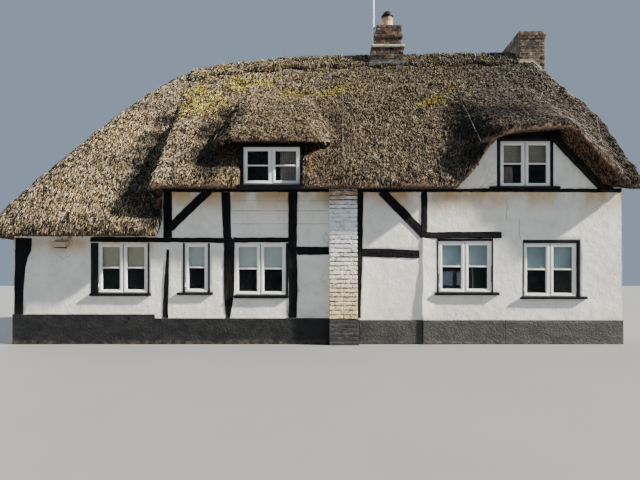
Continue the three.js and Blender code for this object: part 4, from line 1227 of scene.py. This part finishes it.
def lay_bricks(name, places, material, seed, edge=0.006, joint=JOINT, thick=THICK, loose=0.0015):
    """One modelled brick, laid at every place with a little slack, as one mesh."""
    unit = begin("brick")
    ops.primitive_cube_add(size=1, scale=(BRICK[0], thick, BRICK[1]))
    bevel(edge, 1)
    edit()
    draw = np.random.default_rng(seed)
    matrices = []
    for centre, flat, length, height in places:
        jog = Vector(draw.normal(0, loose, 3))
        turn = Matrix.Rotation(0 if flat else math.pi / 2, 4, "Z") @ Matrix.Rotation(draw.normal(0, 0.006), 4, "Z")
        size = Matrix.Diagonal(((length - joint) / BRICK[0], 1, (height - joint) / BRICK[1], 1))
        matrices.append(np.array(Matrix.Translation(Vector(centre) + jog) @ turn @ size))
    points, matrices = points_of(unit), np.array(matrices)
    moved = np.einsum("nij,kj->nki", matrices[:, :3, :3], points) + matrices[:, None, :3, 3]
    piece = from_arrays(name, moved, copies(triangles_of(unit), len(matrices), len(points)))
    put_value(piece, "tone", np.repeat(draw.random(len(matrices)), len(points)))
    bpy.data.objects.remove(unit)
    return finish_piece(piece, material, 30)


def rising(low, high, course):
    levels = np.linspace(low, high, round((high - low) / course) + 1)
    return list(zip(levels[:-1], levels[1:]))


def skirt(name, tree, x, y, reach, material, seed):
    """A collar dressed round a stack: up its faces, and out over the straw."""
    corners = np.array([(x[0], y[0]), (x[1], y[0]), (x[1], y[1]), (x[0], y[1])])
    base = [a * (1 - t) + b * t for a, b in zip(corners, np.roll(corners, -1, axis=0))
            for t in np.linspace(0, 1, 22, endpoint=False)]
    middle, half, size, upstand, lift = corners.mean(axis=0), (corners[2] - corners[0]) / 2, len(base), 0.05, 0.006
    ragged = 1 + 0.18 * np.random.default_rng(seed).standard_normal(size)
    points, outs = [], (0.003, 0.006, reach * 0.35, reach * 0.7, reach)
    for out in outs:
        level = roof_height(tree, *(base[0] * 1.01), 6)
        for number, point in enumerate(base):
            share = (point - middle) / half
            px, py = point + share / max(abs(share)) * out * (ragged[number] if out > 0.01 else 1)
            level = roof_height(tree, px, py, level)
            points.append((px, py, level + lift + (upstand if out < 0.005 else 0)))
    faces = [(r * size + k, r * size + (k + 1) % size, (r + 1) * size + (k + 1) % size, (r + 1) * size + k)
             for r in range(len(outs) - 1) for k in range(size)]
    piece = from_arrays(name, points, np.array(faces)[:, ::-1])
    thicken(piece, 0.003)
    return finish_piece(piece, material, 40)


def add_brickwork():
    places = courses((0.168, 0.65), (-2.75, -2.6), rising(0.456, 2.79, 0.0778), 0.006, "flr", thick=0.09)
    lay_bricks("pier_bricks", places, painted_brick(), 41, 0.008, 0.012, 0.09, 0.002)
    red = brickwork("stack_brick", (0.018, 0.013, 0.012), (0.055, 0.03, 0.024), (0.14, 0.075, 0.052), 0.4, 0.7)
    stack_x, stack_y = (1.285, 1.845), (-0.28, 0.28)
    places = courses((1.16, 1.88), (-0.32, 0.32), rising(6.01, 6.396, 0.0772))
    places += courses(stack_x, stack_y, rising(6.453, 6.64, 0.062), long=0.2)
    places += courses((1.257, 1.873), (-0.308, 0.308), [(6.64, 6.7)])
    places += courses(stack_x, stack_y, rising(6.7, 6.925, 0.075), start=1)
    lay_bricks("ridge_stack_bricks", places, red, 42)
    grey = brickwork("gable_stack_brick", (0.025, 0.019, 0.017), (0.07, 0.048, 0.038), (0.16, 0.1, 0.074), 0.55, 0.5)
    places = courses((4.53, 5.09), (-0.29, 0.69), rising(5.28, 6.61, 0.0777))
    places += courses((4.518, 5.102), (-0.302, 0.702), [(6.61, 6.67)])
    places += courses((4.506, 5.114), (-0.314, 0.714), [(6.67, 6.772)], long=0.15, start=1)
    lay_bricks("gable_stack_bricks", places, grey, 43)
    band = begin("stack_band")
    bar((1.156, 1.917), (-0.352, 0.352), (6.394, 6.456), 0.01)
    end(band, stone(), 40, None, (0.06, X, Y), (0.003, 44, 0.003))
    tree = frame_tree(["thatch_front", "thatch_rear", "ridge_cap"])
    skirt("stack_flashing", tree, (1.155, 1.885), (-0.325, 0.325), 0.06, lead(), 45)
    fillet = mortar("fillet", (0.2, 0.17, 0.14))
    skirt("gable_fillet", tree, (4.525, 5.095), (-0.295, 0.695), 0.05, fillet, 46)
    haunch = begin("pot_haunching")
    ops.primitive_cone_add(vertices=36, radius1=0.255, radius2=0.15, depth=0.06, location=(1.565, 0, 6.951))
    ops.inset(thickness=0.01)
    bevel(0.01, 3)
    end(haunch, mortar("haunching", (0.36, 0.34, 0.3)), 50, uneven=(0.004, 47, 0.004))


# ---- Door and lamp ----

def add_door():
    piece = begin("door_boards")
    edges = np.linspace(-1.949, -1.051, 8)
    for a, b in zip(edges[:-1], edges[1:]):
        bar((a + 0.001, b - 0.001), (2.508, 2.54), (0.152, 1.788), 0.005)
    for level in (0.38, 0.97, 1.56):
        bar((-1.93, -1.07), (2.484, 2.509), (level - 0.06, level + 0.06), 0.006)
    end(piece, door_paint(), 35, None, (0.12, Z), (0.0015, 51, 0.0006))
    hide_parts("door")
    metal = begin("door_iron")
    for level in (0.42, 1.52):
        bar((-1.93, -1.3), (2.541, 2.547), (level - 0.02, level + 0.02), 0.002)
        for stud in np.linspace(-1.9, -1.34, 5):
            ops.primitive_uv_sphere_add(segments=12, ring_count=6, radius=0.009, location=(stud, 2.547, level))
            put_by()
    bar((-1.17, -1.12), (2.54, 2.546), (0.98, 1.16), 0.002)
    ops.primitive_torus_add(location=(-1.145, 2.557, 1.05), rotation=(math.pi / 2, 0, 0), major_radius=0.035,
                            minor_radius=0.006, major_segments=24, minor_segments=8)
    put_by()
    end(metal, iron())


def add_lamp():
    # A black lens under the lamp, which also stands for the shade under its box
    lens = begin("lamp_lens")
    bar((-4.69, -4.51), (-2.71, -2.61), (1.712, 1.73), 0.005)
    end(lens, black_paint())
    fixings = begin("lamp_fixings")
    bar((-4.735, -4.465), (-2.607, -2.6), (1.735, 1.842))
    bar((-4.61, -4.59), (-2.618, -2.6), (1.85, 1.885), 0.006)
    end(fixings, lamp_shell())


# ---- Boards and net ----

def add_arch_boards(oak):
    """The sloping board where the arched eave meets the wall, and the board at its head."""
    start, stop = Vector((4.14, -2.67, 3.745)), Vector((5.18, -2.67, 2.64))
    along, half = (stop - start).normalized(), (stop - start).length / 2
    piece = begin("arch_board")
    bar((-half, half), (-0.06, 0.07), (-0.075, 0.075), 0.005)
    leave()
    piece.data.transform(Matrix.Translation((start + stop) / 2) @ X.rotation_difference(along).to_matrix().to_4x4())
    edit(piece)
    ops.bisect(plane_co=(0, 0, 2.725), plane_no=Z, clear_inner=True, use_fill=True)
    edit()
    hewn(piece, along, 71)
    finish_piece(piece, oak, 40)
    head = begin("arch_head")
    bar((3.19, 4.19), (-2.622, -2.602), (3.737, 3.868), 0.004)
    leave()
    hewn(head, X, 72)
    finish_piece(head, oak, 40)


def tube(name, lines, radius, sides):
    """Wires along lines of points, as one closed mesh."""
    points, faces, start = [], [], 0
    for line in map(np.array, lines):
        along = np.gradient(line, axis=0)
        along /= np.maximum(np.linalg.norm(along, axis=1), 1e-9)[:, None]
        side = np.cross(along, (0.13, 0.31, 0.94))
        side /= np.linalg.norm(side, axis=1)[:, None]
        over = np.cross(side, along)
        turns = np.arange(sides) * 2 * math.pi / sides
        for k, point in enumerate(line):
            points += [point + radius * (side[k] * math.cos(turn) + over[k] * math.sin(turn)) for turn in turns]
        last = start + (len(line) - 1) * sides
        for row in range(start, last, sides):
            for j in range(sides):
                a, b = row + j, row + (j + 1) % sides
                faces += [(a, b, b + sides), (a, b + sides, a + sides)]
        faces += [(start, start + j + 1, start + j) for j in range(1, sides - 1)]
        faces += [(last, last + j, last + j + 1) for j in range(1, sides - 1)]
        start += len(line) * sides
    return from_arrays(name, points, faces)


NET_SEAMS = [  # where two widths of net are laced together, as x and y on the roof
    [(0.45, -0.9), (0.474, -1.286), (0.44, -1.9), (0.424, -2.317), (0.42, -2.8)],
    [(2.619, -0.24), (3.1, -0.4), (3.556, -0.5), (4.1, -0.56), (4.669, -0.7), (5.05, -1.05)],
    [(2.855, -1.6), (2.849, -1.93), (2.81, -2.42), (2.794, -2.84)],
    [(-2.64, -2.2), (-2.6, -2.57), (-2.47, -2.98)],
    [(4.43, -1.5), (4.62, -1.2), (5.05, -1.05)],
    [(5.4, -1.8), (5.2, -2.3), (4.96, -2.6), (4.62, -2.94)],
    [(-0.9, 1.0), (-0.95, 1.8), (-0.9, 2.6)], [(2.6, 0.9), (2.65, 1.8), (2.6, 2.7)],
]


def add_net(finish):
    """Wire netting's laced seams, and the twisted ends that stand along the ridge."""
    tree = frame_tree(["thatch_front", "thatch_rear", "thatch_bay", "ridge_cap"])
    draw = np.random.default_rng(7)
    lines = []
    for seam in NET_SEAMS:
        marks = np.linspace(0, len(seam) - 1, 14 * len(seam))
        path = np.stack([np.interp(marks, range(len(seam)), along) for along in zip(*seam)], axis=1)
        for strand in range(2):
            swing = 0.006 * np.sin(np.arange(len(path)) * 1.7 + strand * math.pi)
            lines.append([(x + w, y, roof_height(tree, x + w, y) + 0.014 + 0.004 * draw.standard_normal())
                          for (x, y), w in zip(path, swing)])
    for x in draw.uniform(-2.9, 4.3, 90):
        if 1.05 < x < 1.98:  # the ridge stack
            continue
        y = draw.normal(-0.05, 0.12)
        lean, tall, bend = draw.normal(0, 0.5), draw.uniform(0.03, 0.085), draw.normal(0, 0.35)
        foot = roof_height(tree, x, y) - 0.02
        lines.append([(x + t * tall * lean + t * t * tall * bend, y + t * tall * 0.3, foot + t * (tall + 0.02))
                      for t in np.linspace(0, 1, 5)])
    finish_piece(tube("net_wire", lines, 0.002, 5), finish, 60)


# ---- What is left of the frame ----

def dress_frame():
    """Gives each frame node that still shows its finish."""
    finishes = {
        "brick_pier": painted_brick(), "ridge_stack": mortar("stack_mortar", (0.16, 0.14, 0.115)),
        "gable_stack": mortar("gable_mortar", (0.24, 0.21, 0.17)), "chimney_pot": clay(), "pot_cowl": sooty_shaded_cowl(),
        "aerial_mast": steel(), "ground_floor": oak_boards(), "upper_floor": oak_boards(), "wall_lamp": lamp_shell(),
        "door_frame": white_paint(),
    }
    plaster, pane = lime(), glass()
    for node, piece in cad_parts.items():
        if not piece.hide_render:
            piece.data.materials.clear()
            piece.data.materials.append(finishes.get(node, pane if "glass" in node else plaster))


# ---- The scene ----

add_camera()
add_light("key", 16.5, (1.0, 0.93, 0.79), 2.5, 78.5, 33)
add_light("fill", 0.1, (0.92, 0.96, 1.0), 60, -35, 32)
add_light("back_fill", 2.4, (0.97, 0.98, 1.0), 60, 215, 38)
add_sky((0.62, 0.79, 1.0), 0.42)
bpy.ops.object.select_all(action="DESELECT")
ops.primitive_plane_add(size=120, location=(0, 0, -0.002))
floor = bpy.context.object
floor.name = "studio_floor"
floor.data.materials.append(studio_floor())

add_thatch()
add_walls()
add_timbers()
add_windows()
add_brickwork()
add_door()
add_lamp()
add_arch_boards(black_oak())
add_net(steel("net_wire_steel", 0.5))
dress_frame()
